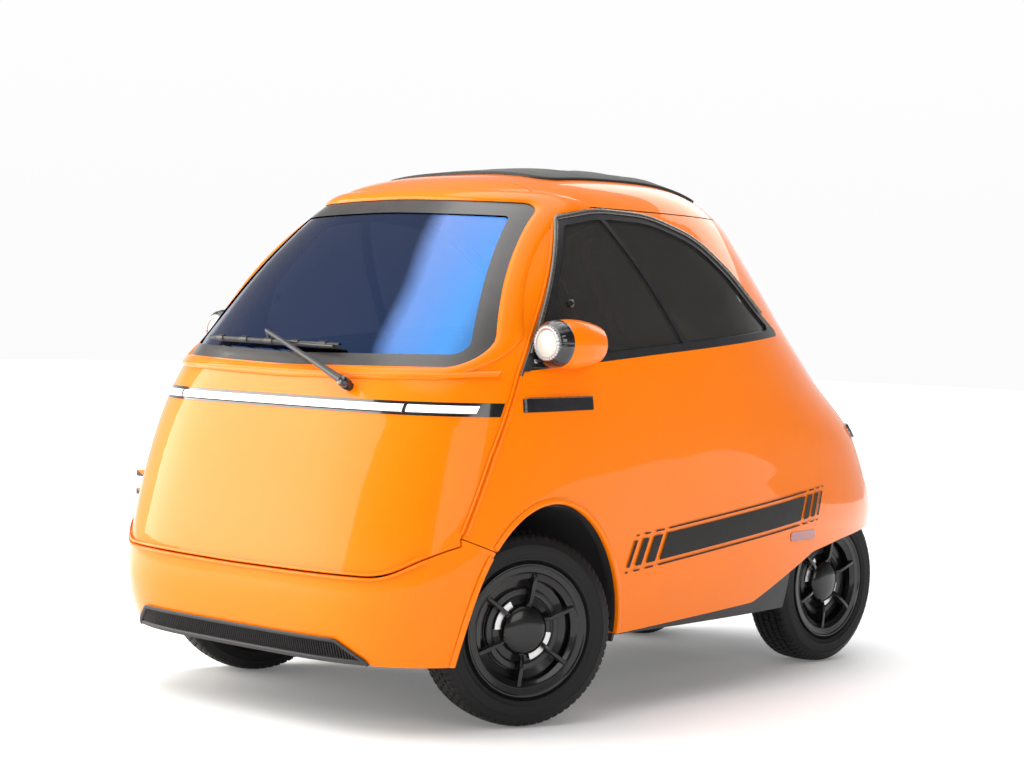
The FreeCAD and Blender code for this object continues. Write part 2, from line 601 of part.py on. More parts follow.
def leant(along, deep):
    """Point of the seat back: distance up its front face and depth behind it."""
    y = SEAT_BACK_Y + along * math.sin(back_lean) + deep * math.cos(back_lean)
    z = back_foot_z + along * math.cos(back_lean) - deep * math.sin(back_lean)
    return (y, z)


FOOT_EASE = 12.0
foot_rise = FOOT_EASE * (math.cos(back_lean) + math.sin(back_lean) - 1.0)
back_foot_z = SEAT_Z + SEAT_GAP + SEAT_BACK_THICK * math.sin(back_lean) - foot_rise
back_points = [leant(0.0, 0.0), leant(0.0, SEAT_BACK_THICK),
               leant(SEAT_BACK_LENGTH, SEAT_BACK_THICK - 15.0), leant(SEAT_BACK_LENGTH, 0.0)]
seat_back = soft_block(back_points, 30.0 - SEAT_HALF, SEAT_HALF - 30.0,
                       [FOOT_EASE, FOOT_EASE, 35.0, 35.0], 11.0)

# Steering column, display and wheel
column_foot = Vector(STEER_X, -795.0, FLOOR_Z + FLOOR_PLATE + SEAT_GAP)
column_bend = Vector(STEER_X, -795.0, 610.0)
column_top = Vector(STEER_X, -478.0, 800.0)
column_way = (column_top - column_bend).normalize()
column = rod(column_foot, column_bend, 24.0).fuse(rod(column_bend, column_top, 24.0))
column = column.fuse(Part.makeSphere(24.0, column_bend))
pin_top = column_top + column_way * 26.0
column = column.fuse(rod(column_top, pin_top, 9.0))
display = block(STEER_X - 78.0, STEER_X + 78.0, -640.0, -618.0, 800.0, 892.0)
display_neck = block(STEER_X - 16.0, STEER_X + 16.0, -636.0, -622.0, 690.0, 802.0)
column = column.fuse(display.makeFillet(9.0, display.Edges)).fuse(display_neck)
column = column.removeSplitter()

ring = Part.makeTorus(STEERING_WHEEL_RADIUS, 13.5, Vector(0, 0, 30.0), Vector(0, 0, 1))
hub = Part.makeCylinder(34.0, 26.0, Vector(0, 0, SEAT_GAP))
hub = hub.cut(Part.makeCylinder(9.0 + SPINDLE_FIT, 40.0, Vector(0, 0, -12.0)))
wheel_solid = ring.fuse(hub.fuse(Part.makeCylinder(34.0, 6.0, Vector(0, 0, 26.0 + SEAT_GAP))))
for turn in (0.0, 120.0, 240.0):
    spoke = block(20.0, STEERING_WHEEL_RADIUS, -12.0, 12.0, 20.0, 32.0)
    spoke.rotate(Vector(0, 0, 0), Vector(0, 0, 1), turn + 90.0)
    wheel_solid = wheel_solid.fuse(spoke)
steering_wheel = wheel_solid.removeSplitter()
tilt = FreeCAD.Rotation(Vector(0, 0, 1), column_way)
steering_wheel.Placement = FreeCAD.Placement(column_top, tilt)

# Front subframe with a lower and an upper arm to each knuckle
POST_LOW_Z = 138.0
POST_TOP_Z = 372.0
cross_beam = block(-ARCH_INNER_X - 30.0, ARCH_INNER_X + 30.0, FRONT_AXLE_Y - 42.0,
                   FRONT_AXLE_Y + 42.0, POST_LOW_Z - 30.0, FLOOR_Z - SEAT_GAP)
tower_left = block(ARCH_INNER_X + ARCH_LINER + 2.0, ARCH_INNER_X + 32.0, FRONT_AXLE_Y - 42.0,
                   FRONT_AXLE_Y + 42.0, POST_LOW_Z - 30.0, POST_TOP_Z + 22.0)


def arm(low_z, high_z):
    """Arm from the tower to the kingpin, narrow at its outer end."""
    outline = [(ARCH_INNER_X + 12.0, FRONT_AXLE_Y - 38.0), (KINGPIN_X, FRONT_AXLE_Y - 16.0),
               (KINGPIN_X, FRONT_AXLE_Y + 16.0), (ARCH_INNER_X + 12.0, FRONT_AXLE_Y + 38.0)]
    eye = Part.makeCylinder(22.0, high_z - low_z, Vector(KINGPIN_X, FRONT_AXLE_Y, low_z))
    return plan_prism(outline, low_z, high_z).fuse(eye)


arms_left = arm(POST_LOW_Z - 22.0, POST_LOW_Z - SEAT_GAP).fuse(
    arm(POST_TOP_Z + SEAT_GAP, POST_TOP_Z + 20.0)).fuse(tower_left)
front_subframe = cross_beam.fuse(arms_left).fuse(mirrored(arms_left)).removeSplitter()

# Knuckle, drawn straight ahead at the left kingpin
HUB_FACE = FRONT_TRACK / 2.0 - KINGPIN_X
knuckle = Part.makeCylinder(17.0, POST_TOP_Z - POST_LOW_Z,
                            Vector(KINGPIN_X, FRONT_AXLE_Y, POST_LOW_Z))
spindle_start = Vector(KINGPIN_X, FRONT_AXLE_Y, AXLE_Z)
knuckle = knuckle.fuse(rod(spindle_start, spindle_start + Vector(HUB_FACE + 24.0, 0, 0),
                           SPINDLE_RADIUS))
knuckle = knuckle.fuse(rod(spindle_start, spindle_start + Vector(
    HUB_FACE - BOSS_REACH - SEAT_GAP, 0, 0), 36.0))
knuckle = knuckle.removeSplitter()

# Rear axle: two trailing arms on a cross tube, with a spindle for each wheel
REAR_ARM_X = REAR_TRACK / 2.0 - 130.0
axle_left = block(REAR_ARM_X, REAR_ARM_X + 36.0, STEP_Y + 30.0, REAR_AXLE_Y + 40.0,
                  AXLE_Z - 30.0, AXLE_Z + 30.0)
axle_left = axle_left.fuse(rod(Vector(REAR_ARM_X, REAR_AXLE_Y, AXLE_Z),
                               Vector(REAR_TRACK / 2.0 + 24.0, REAR_AXLE_Y, AXLE_Z),
                               SPINDLE_RADIUS))
axle_left = axle_left.fuse(block(REAR_ARM_X, REAR_ARM_X + 36.0, STEP_Y + DECK_PLATE + SEAT_GAP,
                                 STEP_Y + 60.0, AXLE_Z - 30.0, AXLE_Z + 30.0))
cross_tube = rod(Vector(-REAR_ARM_X - 10.0, STEP_Y + 60.0, AXLE_Z),
                 Vector(REAR_ARM_X + 10.0, STEP_Y + 60.0, AXLE_Z), 26.0)
rear_axle = cross_tube.fuse(axle_left).fuse(mirrored(axle_left)).removeSplitter()
drive_unit = block(SEAT_GAP - REAR_ARM_X, REAR_ARM_X - SEAT_GAP, REAR_AXLE_Y - 130.0,
                   REAR_AXLE_Y + 130.0, AXLE_Z - 75.0, AXLE_Z + 150.0)


def lathe(points):
    """Solid of revolution about X of an outline given as (x, radius)."""
    wire = Part.makePolygon([Vector(x, 0, r) for x, r in points + points[:1]])
    return Part.Face(wire).revolve(Vector(0, 0, 0), Vector(1, 0, 0), 360.0)


def tyre_at_origin():
    half = TYRE_WIDTH / 2.0
    bead = RIM_WIDTH / 2.0 - 6.0
    inner = RIM_RADIUS - 12.0
    outline = [(bead, inner), (bead, RIM_RADIUS + 5.0), (half - 5.0, RIM_RADIUS + 14.0),
               (half, RIM_RADIUS + 42.0), (half - 5.0, TYRE_RADIUS - 22.0),
               (half - 20.0, TYRE_RADIUS - 3.5), (0.0, TYRE_RADIUS)]
    return lathe(outline + [(-x, r) for x, r in outline[-2::-1]])


def rim_at_origin():
    """Wheel disc and barrel about X, its face toward +X."""
    half = RIM_WIDTH / 2.0
    bed = RIM_RADIUS - 12.0 - SEAT_GAP
    lip = half - 6.0 + SEAT_GAP
    barrel = lathe([(-half, bed - 9.0), (half, bed - 9.0), (half + 2.0, RIM_RADIUS - 4.0),
                    (half + 2.0, RIM_RADIUS), (half, RIM_RADIUS + 3.0), (lip, RIM_RADIUS + 3.0),
                    (lip, bed), (-lip, bed), (-lip, RIM_RADIUS + 3.0), (-half, RIM_RADIUS + 3.0)])
    disc = lathe([(22.0, SPINDLE_RADIUS + SPINDLE_FIT), (34.0, SPINDLE_RADIUS + SPINDLE_FIT),
                  (36.0, 60.0), (30.0, 110.0), (40.0, bed - 5.0), (32.0, bed - 5.0),
                  (22.0, 110.0), (24.0, 60.0)])
    boss = lathe([(-BOSS_REACH, SPINDLE_RADIUS + SPINDLE_FIT),
                  (30.0, SPINDLE_RADIUS + SPINDLE_FIT), (30.0, 34.0), (-BOSS_REACH, 34.0)])
    cap = lathe([(30.0, 0.0), (55.0, 0.0), (53.0, 30.0), (46.0, 48.0), (36.0, 54.0),
                 (30.0, 54.0)])
    rim = barrel.fuse(disc).fuse(boss).fuse(cap)
    for i in range(6):
        fin = block(26.0, 54.0, -6.5, 6.5, 50.0, bed - 5.0)
        fin.rotate(Vector(0, 0, 0), Vector(1, 0, 0), 60.0 * i - FIN_TURN)
        rim = rim.fuse(fin)
    return rim.removeSplitter()


def placed(shape, x, y, z):
    copy = shape.copy()
    copy.translate(Vector(x, y, z))
    return copy


def steered(shape, side):
    """Turned with the front wheel on one side: +1 is left, -1 is right."""
    copy = shape.copy()
    copy.rotate(Vector(side * KINGPIN_X, FRONT_AXLE_Y, 0), Vector(0, 0, 1), -REST_STEER)
    return copy


# Lamp and mirror pods on the window corners
def pod_lathe(points):
    """Solid of revolution about Y of an outline given as (y, radius), at the left pod."""
    wire = Part.makePolygon([Vector(0, y, r) for y, r in points + points[:1]])
    solid = Part.Face(wire).revolve(Vector(0, 0, 0), Vector(0, 1, 0), 360.0)
    return placed(solid, POD_X, POD_Y, POD_Z)


def curve_points(pairs, steps):
    """Smooth run through (along, radius) pairs."""
    curve = Part.BSplineCurve()
    curve.interpolate([Vector(a, r, 0) for a, r in pairs])
    first, last = curve.FirstParameter, curve.LastParameter
    return [(curve.value(first + (last - first) * i / steps).x,
             curve.value(first + (last - first) * i / steps).y) for i in range(steps + 1)]


pod_profile = curve_points([(0.0, POD_RADIUS - 3.0), (45.0, POD_RADIUS), (100.0, POD_RADIUS - 5.0),
                            (140.0, POD_RADIUS - 14.0)], 12)
pod_shell = pod_lathe([(0.0, 0.0)] + pod_profile + [(140.0, POD_RADIUS - 20.0),
                                                     (134.0, POD_RADIUS - 20.0), (134.0, 0.0)])
neck = rod(Vector(POD_X, POD_Y + 70.0, POD_Z - 30.0), Vector(POD_X - 90.0, POD_Y + 74.0,
                                                            POD_Z - 34.0), 16.0)
skin_seat = form(-SEAT_GAP)
pod_shell = pod_shell.fuse(neck).cut(skin_seat).removeSplitter()
bezel_profile = curve_points([(-SEAT_GAP, POD_RADIUS - 4.0), (-22.0, POD_RADIUS - 7.0),
                              (-38.0, POD_RADIUS - 16.0)], 6)
pod_bezel = pod_lathe([(-SEAT_GAP, 0.0)] + bezel_profile + [(-38.0, LENS_RADIUS + SEAT_GAP),
                                                            (-16.0, LENS_RADIUS + SEAT_GAP),
                                                            (-16.0, 0.0)]).cut(skin_seat)
lens_profile = curve_points([(-36.0, LENS_RADIUS), (-43.0, 30.0), (-46.0, 0.2)], 6)
pod_lens = pod_lathe([(-16.0 - SEAT_GAP, 0.0), (-16.0 - SEAT_GAP, LENS_RADIUS)] + lens_profile
                     + [(-46.0, 0.0)])
pod_mirror = pod_lathe([(134.0 + SEAT_GAP, 0.0), (134.0 + SEAT_GAP, POD_RADIUS - 20.0 - SEAT_GAP),
                        (137.5, POD_RADIUS - 20.0 - SEAT_GAP), (137.5, 0.0)])

# Badge strip and side marker, both thin and proud of the skin
THIN_PROUD = 2.0
strip_outline = [(-838.0, 825.0), (-580.0, 831.0), (-580.0, 864.0), (-834.0, 860.0)]
strip_left = form(-THIN_PROUD).common(side_prism(strip_outline, 0.0, FAR, 3.0)).cut(skin_seat)
marker_outline = [(385.0, 424.0), (540.0, 424.0), (540.0, 452.0), (385.0, 452.0)]
marker_left = form(-THIN_PROUD).common(side_prism(marker_outline, 0.0, FAR, 12.0)).cut(skin_seat)

# Inner bar of the door, bowed like the skin, on two brackets
bar_strip = front_prism([(-500.0, 752.0), (500.0, 752.0), (500.0, 782.0), (-500.0, 782.0)],
                        -FAR, -600.0)
door_bar = form(76.0).cut(form(98.0, SKIRT_DROP)).common(bar_strip)
for x in (-330.0, 330.0):
    bracket = form(WALL + SEAT_GAP, 10.0).cut(form(90.0, SKIRT_DROP)).common(
        block(x - 18.0, x + 18.0, -FAR, -600.0, 757.0, 777.0))
    door_bar = door_bar.fuse(bracket)
door_bar = door_bar.removeSplitter()

# Wiper: knuckle on the door, arm and blade over the glass
wiper_pivot = Vector(285.0, -1112.0, 880.0)
wiper_rise = Vector(0.0, -0.86, 0.51)
PIVOT_ROOT = 14.0
pivot_top = wiper_pivot + wiper_rise * 26.0
arm_tip = Vector(-112.0, -1053.0, 1010.0)
blade_left = Vector(-385.0, -1025.0, 985.0)
blade_right = Vector(175.0, -1066.0, 978.0)
wiper = rod(wiper_pivot - wiper_rise * PIVOT_ROOT, pivot_top, 12.0)
wiper = wiper.fuse(rod(pivot_top - wiper_rise * 6.0, arm_tip, 5.0))
wiper = wiper.fuse(rod(arm_tip, (blade_left + blade_right) / 2.0, 5.0))
wiper = wiper.fuse(Part.makeSphere(5.0, arm_tip)).cut(form(-SEAT_GAP))
wiper = wiper.fuse(rod(blade_left, blade_right, 5.0)).removeSplitter()

# Hinges. Each has a pin and two outer barrels on the fixed side and a middle barrel,
# turning on the pin, on the moving side.
def hinge(low, way, pocket):
    """Fixed part, moving part and pocket of a hinge from its low end along a unit way."""
    ends = [low + way * s for s in (0.0, 14.0, 14.0 + SEAT_GAP, 32.0 - SEAT_GAP, 32.0, 46.0)]
    fixed = rod(ends[0], ends[5], HINGE_PIN)
    fixed = fixed.fuse(rod(ends[0], ends[1], HINGE_BARREL))
    fixed = fixed.fuse(rod(ends[4], ends[5], HINGE_BARREL))
    moving = rod(ends[2], ends[3], HINGE_BARREL)
    room = rod(low - way * pocket, ends[5] + way * pocket, HINGE_BARREL + pocket)
    return fixed, moving, room, rod(ends[0], ends[5], HINGE_PIN + SPINDLE_FIT)


def swing_relief():
    """Room about the door's pin for the bumper's corner, which the door's foot passes."""
    outline = []
    for i in range(9):
        x = -480.0 - 20.0 * i
        foot = Part.LineSegment(Vector(x, -1200.0, 300.0), Vector(x, -1200.0, 700.0)).toShape()
        z = min(v.Z for v in foot.common(door_box_wide).Vertexes)
        line = Part.LineSegment(Vector(x, -FAR, z), Vector(x, 0.0, z)).toShape()
        y = min(v.Y for v in line.common(outer).Vertexes)
        reach = math.hypot(x - DOOR_HINGE_X, y - DOOR_HINGE_Y) + SWING_ROOM
        outline.append(Vector(reach, 0.0, z))
    outline = [Vector(0, 0, outline[0].z)] + outline + [Vector(0, 0, outline[-1].z)]
    turned = Part.Face(Part.makePolygon(outline + outline[:1])).revolve(
        Vector(0, 0, 0), Vector(0, 0, 1), 360.0)
    return placed(turned, DOOR_HINGE_X, DOOR_HINGE_Y, 0.0)


up = Vector(0, 0, 1)
pin_foot = Vector(DOOR_HINGE_X, DOOR_HINGE_Y, BUMPER_SEAM_Z - 40.0)
pin_head = Vector(DOOR_HINGE_X, DOOR_HINGE_Y, DOOR_HINGE_LOW[1] + 56.0)
door_shell = door_shell.cut(swing_relief()).cut(
    rod(pin_foot, pin_head, HINGE_BARREL + SHUT_GAP))
for low in DOOR_HINGE_LOW:
    base = Vector(DOOR_HINGE_X, DOOR_HINGE_Y, low)
    fixed, moving, _, bore = hinge(base, up, SHUT_GAP)
    for z in (low, low + 32.0):
        fixed = fixed.fuse(block(DOOR_HINGE_X - 3.0, DOOR_HINGE_X + 12.0, DOOR_HINGE_Y,
                                 DOOR_HINGE_Y + 40.0, z, z + 14.0))
    leaf = block(DOOR_HINGE_X - 3.0, DOOR_HINGE_X + 44.0, DOOR_HINGE_Y - 40.0, DOOR_HINGE_Y,
                 low + 14.0 + SEAT_GAP, low + 32.0 - SEAT_GAP)
    side_right = side_right.cut(rod(base, base + up * 46.0, HINGE_BARREL + SHUT_GAP)).fuse(fixed)
    door_shell = door_shell.fuse(moving.fuse(leaf)).cut(bore)
side_right = side_right.removeSplitter()
for x in (-140.0, 94.0):
    base = Vector(x, TAIL_HINGE_Y, TAIL_HINGE_Z)
    fixed, moving, room, bore = hinge(base, Vector(1, 0, 0), SHUT_GAP)
    for start in (x, x + 32.0):
        fixed = fixed.fuse(block(start, start + 14.0, TAIL_HINGE_Y - 36.0, TAIL_HINGE_Y,
                                 TAIL_HINGE_Z - 9.0, TAIL_HINGE_Z + 1.0))
    leaf = block(x + 14.0 + SEAT_GAP, x + 32.0 - SEAT_GAP, TAIL_HINGE_Y, TAIL_HINGE_Y + 34.0,
                 TAIL_HINGE_Z - 26.0, TAIL_HINGE_Z - 6.0)
    room_middle = rod(Vector(x + 10.0, TAIL_HINGE_Y, TAIL_HINGE_Z),
                      Vector(x + 36.0, TAIL_HINGE_Y, TAIL_HINGE_Z), HINGE_BARREL + SHUT_GAP)
    roof_shell = roof_shell.cut(room_middle).fuse(fixed)
    tailgate_shell = tailgate_shell.cut(room).fuse(moving.fuse(leaf)).cut(bore)

save("floor_tub", floor_tub)
save("arch_liner_left", liner_left)
save("arch_liner_right", mirrored(liner_left))
save("luggage_deck", luggage_deck)
save("rear_valance", valance)
save("battery_pack", battery)
save("seat_box", seat_box)
save("seat_cushion", seat_cushion)
save("seat_back", seat_back)
save("steering_column", column)
save("steering_wheel", steering_wheel)
save("front_subframe", front_subframe)
save("knuckle_left", steered(knuckle, 1.0))
save("knuckle_right", steered(mirrored(knuckle), -1.0))
save("rear_axle", rear_axle)
save("drive_unit", drive_unit)
tyre = tyre_at_origin()
rim = rim_at_origin()
for name, side, x, y in (("front_left", 1.0, FRONT_TRACK / 2.0, FRONT_AXLE_Y),
                         ("front_right", -1.0, FRONT_TRACK / 2.0, FRONT_AXLE_Y),
                         ("rear_left", 1.0, REAR_TRACK / 2.0, REAR_AXLE_Y),
                         ("rear_right", -1.0, REAR_TRACK / 2.0, REAR_AXLE_Y)):
    for kind, shape in (("tyre", tyre), ("rim", rim)):
        piece = placed(shape, x, y, AXLE_Z)
        if side < 0:
            piece = mirrored(piece)
        if y == FRONT_AXLE_Y:
            piece = steered(piece, side)
        save(kind + "_" + name, piece)
save("pod_shell_left", pod_shell)
save("pod_shell_right", mirrored(pod_shell))
save("pod_bezels", Part.makeCompound([pod_bezel, mirrored(pod_bezel)]))
save("pod_lenses", Part.makeCompound([pod_lens, mirrored(pod_lens)]))
save("pod_mirrors", Part.makeCompound([pod_mirror, mirrored(pod_mirror)]))
save("side_strips", Part.makeCompound([strip_left, mirrored(strip_left)]))
save("side_markers", Part.makeCompound([marker_left, mirrored(marker_left)]))
save("door_bar", door_bar)
save("wiper", wiper)
save("door_shell", door_shell)
save("windscreen", windscreen)
save("screen_seal", screen_seal)
save("light_bar", light_bar)
save("fabric_top", fabric_top)
save("front_bumper", front_bumper)
save("intake_grille", intake_grille)
save("roof_shell", roof_shell)
save("side_panel_left", side_left)
save("side_panel_right", side_right)
save("side_glass_left", panes)
save("side_glass_right", mirrored(panes))
save("window_frame_left", window_frame)
save("window_frame_right", mirrored(window_frame))
save("tailgate_shell", tailgate_shell)
save("rear_window", rear_window)
save("rear_lamp", rear_lamp)
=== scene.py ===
import math

import bmesh
import bpy
import numpy as np
from mathutils import Matrix, Vector
from mathutils.bvhtree import BVHTree
from mathutils.geometry import delaunay_2d_cdt


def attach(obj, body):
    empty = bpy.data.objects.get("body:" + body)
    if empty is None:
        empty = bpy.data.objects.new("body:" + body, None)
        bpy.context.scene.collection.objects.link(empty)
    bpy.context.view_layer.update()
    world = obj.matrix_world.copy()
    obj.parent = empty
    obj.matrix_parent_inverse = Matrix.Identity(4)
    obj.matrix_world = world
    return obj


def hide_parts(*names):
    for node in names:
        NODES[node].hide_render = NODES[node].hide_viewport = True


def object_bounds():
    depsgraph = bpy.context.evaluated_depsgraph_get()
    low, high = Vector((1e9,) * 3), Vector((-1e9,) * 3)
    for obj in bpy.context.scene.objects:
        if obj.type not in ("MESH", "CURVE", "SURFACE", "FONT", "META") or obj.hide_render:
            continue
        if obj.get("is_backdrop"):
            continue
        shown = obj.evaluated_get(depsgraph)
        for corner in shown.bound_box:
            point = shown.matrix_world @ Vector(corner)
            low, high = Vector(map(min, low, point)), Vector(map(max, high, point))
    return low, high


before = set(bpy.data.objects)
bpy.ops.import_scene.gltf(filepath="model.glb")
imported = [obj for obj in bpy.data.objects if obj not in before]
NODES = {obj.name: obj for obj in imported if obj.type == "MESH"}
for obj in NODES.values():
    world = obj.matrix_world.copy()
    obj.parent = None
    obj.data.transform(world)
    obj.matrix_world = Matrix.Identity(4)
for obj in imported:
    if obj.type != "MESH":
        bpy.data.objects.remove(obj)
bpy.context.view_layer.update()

# Camera, at the photograph's place
CAMERA_AT = Vector((4.532, -4.974, 1.072))
CAMERA_YAW = math.radians(43.28)
CAMERA_PITCH = math.radians(1.88)
CAMERA_ROLL = math.radians(1.69)
camera_data = bpy.data.cameras.new("camera")
camera_data.lens = 78.05
camera_data.sensor_width = 36.0
camera_data.shift_x = -0.0081
camera_data.shift_y = 0.0048
camera_data.clip_end = 100.0
camera = bpy.data.objects.new("camera", camera_data)
bpy.context.scene.collection.objects.link(camera)
ahead = Vector((-math.sin(CAMERA_YAW) * math.cos(CAMERA_PITCH),
                math.cos(CAMERA_YAW) * math.cos(CAMERA_PITCH), -math.sin(CAMERA_PITCH)))
level = Vector((math.cos(CAMERA_YAW), math.sin(CAMERA_YAW), 0.0))
upright = level.cross(ahead)
right = level * math.cos(CAMERA_ROLL) + upright * math.sin(CAMERA_ROLL)
above = upright * math.cos(CAMERA_ROLL) - level * math.sin(CAMERA_ROLL)
turn = Matrix((right, above, -ahead)).transposed()
camera.matrix_world = Matrix.Translation(CAMERA_AT) @ turn.to_4x4()
bpy.context.scene.camera = camera


def put(name, data):
    """New object of data, in the scene."""
    made = bpy.data.objects.new(name, data)
    bpy.context.scene.collection.objects.link(made)
    return made


# Materials
def tint(value, share):
    return tuple(min(1.0, c * share) for c in value[:3]) + (1.0,)


def ramp(tree, stops):
    """Colour ramp node from (position, colour) stops."""
    made = tree.nodes.new("ShaderNodeValToRGB")
    elements = made.color_ramp.elements
    elements[0].position, elements[1].position = stops[0][0], stops[-1][0]
    for at, _ in stops[1:-1]:
        elements.new(at)
    for element, (_, colour) in zip(elements, stops):
        element.color = colour
    return made


def material(name, colour, rough, vary=0.06, scale=40.0, bump=0.02, grain=400.0, **sockets):
    """Principled material whose colour, roughness and relief come from noise."""
    made = bpy.data.materials.new(name)
    made.use_nodes = True
    tree = made.node_tree
    link = tree.links.new
    shader = tree.nodes["Principled BSDF"]
    place = tree.nodes.new("ShaderNodeTexCoord")
    cloud = tree.nodes.new("ShaderNodeTexNoise")
    cloud.inputs["Scale"].default_value = scale
    cloud.inputs["Detail"].default_value = 4.0
    link(place.outputs["Object"], cloud.inputs["Vector"])
    mottle = ramp(tree, [(0.3, tint(colour, 1.0 - vary)), (0.7, tint(colour, 1.0 + vary))])
    link(cloud.outputs["Fac"], mottle.inputs["Fac"])
    link(mottle.outputs["Color"], shader.inputs["Base Color"])
    spread = tree.nodes.new("ShaderNodeMapRange")
    spread.inputs["To Min"].default_value = rough[0]
    spread.inputs["To Max"].default_value = rough[1]
    link(cloud.outputs["Fac"], spread.inputs["Value"])
    link(spread.outputs["Result"], shader.inputs["Roughness"])
    if bump:
        fine = tree.nodes.new("ShaderNodeTexNoise")
        fine.inputs["Scale"].default_value = grain
        fine.inputs["Detail"].default_value = 3.0
        link(place.outputs["Object"], fine.inputs["Vector"])
        relief = tree.nodes.new("ShaderNodeBump")
        relief.inputs["Strength"].default_value = bump
        relief.inputs["Distance"].default_value = 0.001
        link(fine.outputs["Fac"], relief.inputs["Height"])
        link(relief.outputs["Normal"], shader.inputs["Normal"])
    for key, value in sockets.items():
        shader.inputs[key.replace("_", " ")].default_value = value
    return made


def woven(name, colour, rough, pitch, bump, **sockets):
    """Cloth: two crossed wave textures for the yarns, with noise in the colour."""
    made = material(name, colour, rough, 0.18, 60.0, 0.0, **sockets)
    tree = made.node_tree
    link = tree.links.new
    shader = tree.nodes["Principled BSDF"]
    place = tree.nodes["Texture Coordinate"]
    heights = []
    for direction in ("X", "Z"):
        wave = tree.nodes.new("ShaderNodeTexWave")
        wave.bands_direction = direction
        wave.inputs["Scale"].default_value = 0.314 / pitch
        wave.inputs["Distortion"].default_value = 0.6
        wave.inputs["Detail"].default_value = 1.0
        link(place.outputs["Object"], wave.inputs["Vector"])
        heights.append(wave.outputs["Fac"])
    both = tree.nodes.new("ShaderNodeMath")
    both.operation = "MULTIPLY"
    link(heights[0], both.inputs[0])
    link(heights[1], both.inputs[1])
    relief = tree.nodes.new("ShaderNodeBump")
    relief.inputs["Strength"].default_value = bump
    relief.inputs["Distance"].default_value = 0.001
    link(both.outputs["Value"], relief.inputs["Height"])
    link(relief.outputs["Normal"], shader.inputs["Normal"])
    return made


PAINT = material("paint", (0.98, 0.205, 0.0), (0.32, 0.38), 0.015, 9.0, 0.012, 900.0,
                 Specular_IOR_Level=0.08, Coat_Weight=0.8, Coat_Roughness=0.02, Coat_IOR=1.27)
BLACK_GLOSS = material("black_gloss", (0.012, 0.012, 0.014), (0.06, 0.14), 0.2, 30.0, 0.01,
                       Coat_Weight=0.6, Coat_Roughness=0.03)
BLACK_MATTE = material("black_matte", (0.024, 0.024, 0.026), (0.45, 0.62), 0.2, 50.0, 0.12, 900.0)
TRIM_DARK = material("trim_dark", (0.016, 0.016, 0.018), (0.28, 0.42), 0.15, 40.0, 0.04, 700.0)
CABIN = material("cabin", (0.028, 0.028, 0.032), (0.55, 0.75), 0.25, 30.0, 0.3, 500.0)
SATIN_BAR = material("satin_trim", (0.16, 0.145, 0.13), (0.22, 0.32), 0.08, 60.0, 0.03, 600.0,
                     Metallic=0.7)
GLASS = material("glass", (0.16, 0.17, 0.27), (0.0, 0.01), 0.01, 8.0, 0.0,
                 Transmission_Weight=1.0, IOR=1.5, Thin_Film_Thickness=134.0,
                 Thin_Film_IOR=2.35)
FRIT = material("frit", (0.040, 0.037, 0.035), (0.26, 0.36), 0.12, 30.0, 0.02, 900.0,
                Coat_Weight=0.3, Coat_Roughness=0.1)
DARK_GLASS = material("dark_glass", (0.05, 0.05, 0.055), (0.0, 0.02), 0.04, 12.0, 0.0,
                      Transmission_Weight=0.45, IOR=1.5)
SMOKE_GLASS = material("smoke_glass", (0.135, 0.13, 0.12), (0.0, 0.02), 0.04, 12.0, 0.0,
                       Transmission_Weight=0.8, IOR=1.5)
RUBBER = material("rubber", (0.018, 0.018, 0.019), (0.5, 0.7), 0.2, 60.0, 0.1, 700.0)
TYRE = material("tyre", (0.0055, 0.0055, 0.006), (0.50, 0.66), 0.25, 45.0, 0.12, 500.0,
                Specular_IOR_Level=0.3)
WHEEL = material("wheel_black", (0.004, 0.004, 0.0045), (0.20, 0.30), 0.15, 35.0, 0.02, 800.0,
                 Specular_IOR_Level=0.3, Coat_Weight=0.35, Coat_Roughness=0.08)
STEEL = material("steel", (0.075, 0.075, 0.08), (0.4, 0.6), 0.3, 25.0, 0.2, 300.0, Metallic=0.4)
ALUMINIUM = material("aluminium", (0.62, 0.62, 0.63), (0.22, 0.36), 0.06, 70.0, 0.05, 600.0,
                     Metallic=1.0)
MIRROR = material("mirror", (0.85, 0.86, 0.88), (0.0, 0.015), 0.01, 20.0, 0.0, Metallic=1.0)
LAMP_RED = material("lamp_red", (0.30, 0.008, 0.01), (0.04, 0.1), 0.1, 60.0, 0.1, 300.0,
                    Coat_Weight=0.8, Coat_Roughness=0.02)
LAMP_WHITE = material("lamp_white", (0.95, 0.96, 0.98), (0.02, 0.06), 0.02, 40.0, 0.05, 200.0,
                      Transmission_Weight=0.8, IOR=1.46)
LED = material("led_strip", (0.95, 0.94, 0.90), (0.10, 0.2), 0.02, 30.0, 0.0,
               Emission_Color=(1.0, 0.97, 0.90, 1.0), Emission_Strength=0.55)
LED_CORE = material("led_core", (0.60, 0.58, 0.53), (0.1, 0.2), 0.02, 30.0, 0.0,
                    Emission_Color=(1.0, 0.98, 0.92, 1.0), Emission_Strength=0.12)
DECAL = material("decal", (0.010, 0.009, 0.008), (0.42, 0.55), 0.1, 40.0, 0.02, 700.0,
                 Specular_IOR_Level=0.25)
PLATE = material("plate_white", (0.78, 0.78, 0.76), (0.35, 0.5), 0.03, 50.0, 0.03, 500.0)
FABRIC = woven("roof_fabric", (0.030, 0.029, 0.029), (0.75, 0.9), 0.0022, 0.35,
               Sheen_Weight=0.15)
CLOTH = woven("seat_cloth", (0.055, 0.055, 0.06), (0.8, 0.95), 0.003, 0.5, Sheen_Weight=0.3)

